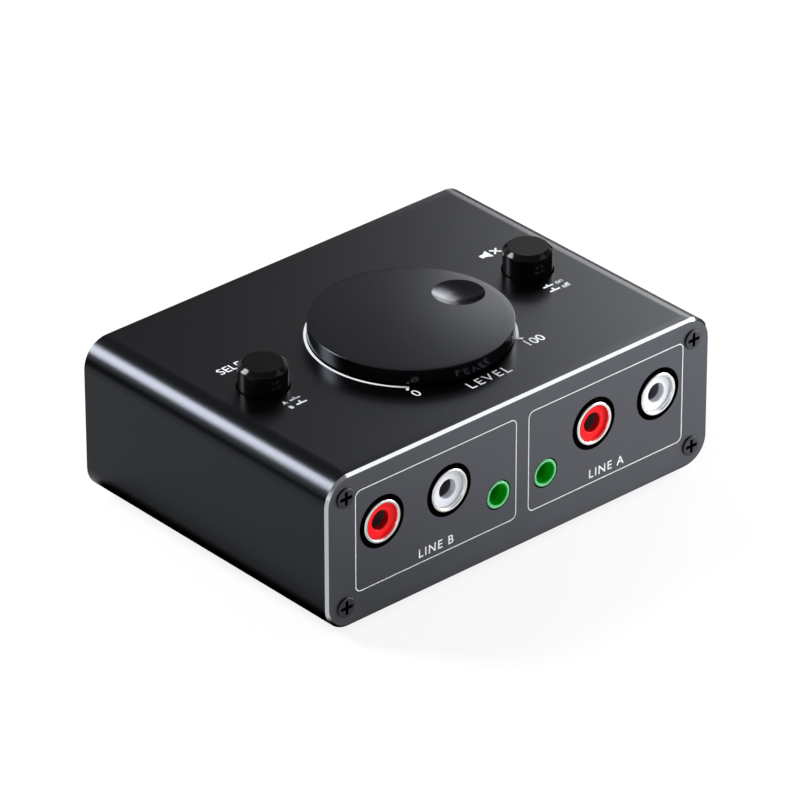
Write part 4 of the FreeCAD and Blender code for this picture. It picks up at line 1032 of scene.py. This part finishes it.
class SELECTOR_OT_stage(bpy.types.Operator):
    """Set up the pale floor, the soft studio light, the white surroundings and the camera"""
    bl_idname = "selector.stage"
    bl_label = "Stage"

    def execute(self, context):
        scene = context.scene
        self.floor(tuple(scene.selector_colours.floor))
        self.world(scene)
        self.cards()
        self.lamps()
        self.camera(scene)
        scene.view_settings.view_transform = "Standard"
        return {"FINISHED"}

    def seen_directly(self, tree):
        """1 for rays of the camera and for rays that gloss or glass sends out, 0 for the rest."""
        path = add_node(tree, "LightPath")
        total = path.outputs["Is Camera Ray"]
        for name in ("Is Glossy Ray", "Is Transmission Ray"):
            larger = add_node(tree, "Math", {"operation": "MAXIMUM"}, {0: total, 1: path.outputs[name]})
            total = larger.outputs[0]
        return total

    def floor(self, tint):
        clear_selection()
        bpy.ops.mesh.primitive_circle_add(vertices=128, radius=6.0, fill_type="NGON", location=(0, 0, 0))
        floor = bpy.context.object
        floor.name = "studio_floor"
        tree, coordinates, output = new_finish("pale_studio_floor")
        # Matt paper that takes the shadow. Direct views and reflections see it mostly white, so that the
        # background stays white and the shadow faint. In gloss its glow is painted darker to the left, a
        # painted falloff away from the lamps.
        paper = add_node(tree, "BsdfDiffuse", {"Color": tint})
        path = add_node(tree, "LightPath")
        across = add_node(tree, "SeparateXYZ", None, {0: coordinates}).outputs["X"]
        place = add_node(
            tree, "MapRange", {"From Min": -80 * MM, "From Max": 80 * MM}, {"Value": across})
        painted_gloss_falloff = levels(tree, place.outputs[0], ((0.2, 0.62), (0.3, 0.35), (0.69, 0.88)))
        level = add_node(tree, "Mix", {2: 1.0}, {0: path.outputs["Is Glossy Ray"], 3: painted_gloss_falloff})
        glow = add_node(tree, "Emission", {"Color": (1, 1, 1, 1)}, {"Strength": level.outputs[0]})
        share = add_node(
            tree, "Math", {"operation": "MULTIPLY", 1: 0.85}, {0: self.seen_directly(tree)})
        mix = add_node(tree, "MixShader", None, {
            0: share.outputs[0], 1: paper.outputs[0], 2: glow.outputs[0]})
        # Under the case and close to its sides reflections see the paper black: painted shade, which only the
        # low reflections show.
        shade = add_node(tree, "BsdfDiffuse", {"Color": (0, 0, 0, 1)})
        hidden = add_node(tree, "Math", {"operation": "MULTIPLY"}, {
            0: path.outputs["Is Glossy Ray"], 1: self.painted_shade_under_case(tree, coordinates)})
        whole = add_node(tree, "MixShader", None, {
            0: hidden.outputs[0], 1: mix.outputs[0], 2: shade.outputs[0]})
        tree.links.new(whole.outputs[0], output.inputs["Surface"])
        give_finishes(floor, ["pale_studio_floor"])

    def painted_shade_under_case(self, tree, coordinates):
        """Where the painted shade lies: 1 on the floor under the case, fading to 0 a few millimetres beside
        it, sooner at its panels.
        """
        half = (CASE_HIGH.x, PANEL_FACE, 0.0)
        size = add_node(tree, "VectorMath", {"operation": "ABSOLUTE"}, {0: coordinates})
        for operation, value in (("SUBTRACT", half), ("MAXIMUM", (0, 0, 0)), ("MULTIPLY", (1, 5, 1))):
            size = add_node(tree, "VectorMath", {"operation": operation, 1: value}, {0: size.outputs[0]})
        distance = add_node(tree, "VectorMath", {"operation": "LENGTH"}, {0: size.outputs[0]})
        return add_node(
            tree, "MapRange",
            {"interpolation_type": "SMOOTHSTEP", "From Min": 2 * MM, "From Max": 12 * MM, "To Min": 1.0,
             "To Max": 0.0}, {"Value": distance.outputs["Value"]}).outputs[0]

    def world(self, scene):
        """White round the horizon, where it is the background, and dimmer towards the studio's ceiling."""
        world = bpy.data.worlds.new("studio")
        scene.world = world
        world.use_nodes = True
        tree = world.node_tree
        tree.nodes.clear()
        direction = add_node(tree, "TexCoord").outputs["Generated"]
        rise = add_node(tree, "SeparateXYZ", None, {0: direction}).outputs["Z"]
        fade = levels(tree, rise, ((math.sin(math.radians(6)), 1.0), (math.sin(math.radians(30)), 0.23)))
        soft = add_node(tree, "Background", {"Color": (1, 1, 1, 1), "Strength": 0.35})
        white = add_node(tree, "Background", {"Color": (1, 1, 1, 1)}, {"Strength": fade})
        mix = add_node(tree, "MixShader", None, {
            0: self.seen_directly(tree), 1: soft.outputs[0], 2: white.outputs[0]})
        output = add_node(tree, "OutputWorld")
        tree.links.new(mix.outputs[0], output.inputs["Surface"])

    def cards(self):
        """Black cards round the case, which only gloss shows: two low ones draw a dark line along its edges,
        a far one keeps the dimple's near wall dark and a small one the chamfer at the right-hand corner."""
        tree, coordinates, output = new_finish("black_card_board")
        dark = add_node(tree, "BsdfDiffuse", None, {
            "Color": mottled(tree, coordinates, linear("050505"), 0.1, 20 * MM)})
        tree.links.new(dark.outputs[0], output.inputs["Surface"])
        for name, spot, turn, across, up in (
            ("black_card_left", (-0.119, 0.067, 0.027), 48.0, 0.15, 0.03),
            ("black_card_right", (0.1175, 0.0655, 0.026), -49.0, 0.15, 0.032),
            ("black_card_far", (0.376, 0.706, 0.18), -28.0, 0.52, 0.36),
            ("black_card_corner", (0.125, -0.032, 0.034), -89.5, 0.07, 0.068),
        ):
            card = flat_piece(spot, across, up, (math.radians(90), 0, math.radians(turn)))
            card.name = name
            give_finishes(card, ["black_card_board"])
            card.visible_camera = card.visible_diffuse = card.visible_shadow = False

    def lamps(self):
        """Soft boxes, each given by where it stands as seen from the object, its size and its radiance."""
        middle = Vector((0, 0, 0.016))
        for name, azimuth, elevation, distance, width, height, radiance in (
            ("strip_behind_left", 124.6, 35.4, 1.2, 0.375, 0.536, 26.0),
            ("panel_behind_right", 33.5, 20.8, 0.94, 0.381, 0.348, 2.35),
            ("panel_behind_right_high", 28.4, 29.65, 0.879, 0.244, 0.431, 3.6),
            ("panel_front_right", -25.1, 13.1, 0.269, 0.193, 0.16, 8.3),
            ("panel_front_high", -41.0, 41.0, 1.1, 0.4, 0.4, 1.0),
        ):
            data = bpy.data.lights.new(name, "AREA")
            data.shape = "RECTANGLE"
            data.size = width
            data.size_y = height
            # Blender's power of a soft box is four times its radiance times its area.
            data.energy = 4 * radiance * width * height
            lamp = bpy.data.objects.new(name, data)
            bpy.context.scene.collection.objects.link(lamp)
            turn, rise = math.radians(azimuth), math.radians(elevation)
            way = Vector((math.cos(turn) * math.cos(rise), math.sin(turn) * math.cos(rise), math.sin(rise)))
            lamp.location = middle + way * distance
            lamp.rotation_euler = (-way).to_track_quat("-Z", "Y").to_euler()
            if name == "panel_front_right":
                self.keep_off(lamp, ("case_sleeve", "level_disc", "select_cap", "mute_cap"))

    def keep_off(self, lamp, names):
        """Lets a lamp light all but some pieces, whose flat tops would mirror it when seen from behind."""
        spared = bpy.data.collections.new(lamp.name + "_spares")
        for name in names:
            spared.objects.link(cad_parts.get(name) or bpy.data.objects[name])
        for entry in spared.collection_objects:
            entry.light_linking.link_state = "EXCLUDE"
        lamp.light_linking.receiver_collection = spared

    def camera(self, scene):
        """The photograph's view, found by fitting the case's straight edges, for an image of 800 by 800."""
        data = bpy.data.cameras.new("photo_view")
        data.sensor_width = 36.0
        data.lens = 302.303
        data.clip_start, data.clip_end = 0.05, 20.0
        camera = bpy.data.objects.new("photo_view", data)
        scene.collection.objects.link(camera)
        camera.rotation_mode = "XYZ"
        camera.location = (-0.6886555, -0.7749522, 0.6204909)
        turn = (
            Matrix.Rotation(math.radians(-41.650186), 3, "Z")
            @ Matrix.Rotation(math.radians(90.0 - 30.204237), 3, "X")
            @ Matrix.Rotation(math.radians(-0.081091), 3, "Z"))
        camera.rotation_euler = turn.to_euler()
        scene.camera = camera


OPERATORS = (
    SELECTOR_OT_finishes,
    SELECTOR_OT_panels,
    SELECTOR_OT_screws,
    SELECTOR_OT_phono_sockets,
    SELECTOR_OT_jacks,
    SELECTOR_OT_knob,
    SELECTOR_OT_buttons,
    SELECTOR_OT_springs,
    SELECTOR_OT_feet,
    SELECTOR_OT_panel_print,
    SELECTOR_OT_top_print,
    SELECTOR_OT_stage,
)


class SELECTOR_PT_sidebar(bpy.types.Panel):
    """Lists the pieces of the source selector, with the sizes and colours that they use"""
    bl_idname = "SELECTOR_PT_sidebar"
    bl_label = "Audio Source Selector"
    bl_space_type = "VIEW_3D"
    bl_region_type = "UI"
    bl_category = "Selector"

    def draw(self, context):
        layout = self.layout
        for group in (context.scene.selector_sizes, context.scene.selector_colours):
            column = layout.column(align=True)
            for name in group.__annotations__:
                column.prop(group, name)
        column = layout.column(align=True)
        for operator in OPERATORS:
            column.operator(operator.bl_idname)


CLASSES = (SelectorSizes, SelectorColours) + OPERATORS + (SELECTOR_PT_sidebar,)


def register():
    for cls in CLASSES:
        bpy.utils.register_class(cls)
    bpy.types.Scene.selector_sizes = bpy.props.PointerProperty(type=SelectorSizes)
    bpy.types.Scene.selector_colours = bpy.props.PointerProperty(type=SelectorColours)


def unregister():
    del bpy.types.Scene.selector_colours
    del bpy.types.Scene.selector_sizes
    for cls in reversed(CLASSES):
        bpy.utils.unregister_class(cls)


def main():
    register()
    bpy.ops.selector.finishes()
    bpy.ops.selector.panels()
    bpy.ops.selector.screws()
    bpy.ops.selector.phono_sockets()
    bpy.ops.selector.jacks()
    bpy.ops.selector.knob()
    bpy.ops.selector.buttons()
    bpy.ops.selector.springs()
    bpy.ops.selector.feet()
    bpy.ops.selector.panel_print()
    bpy.ops.selector.top_print()
    bpy.ops.selector.stage()


if __name__ == "__main__":
    main()
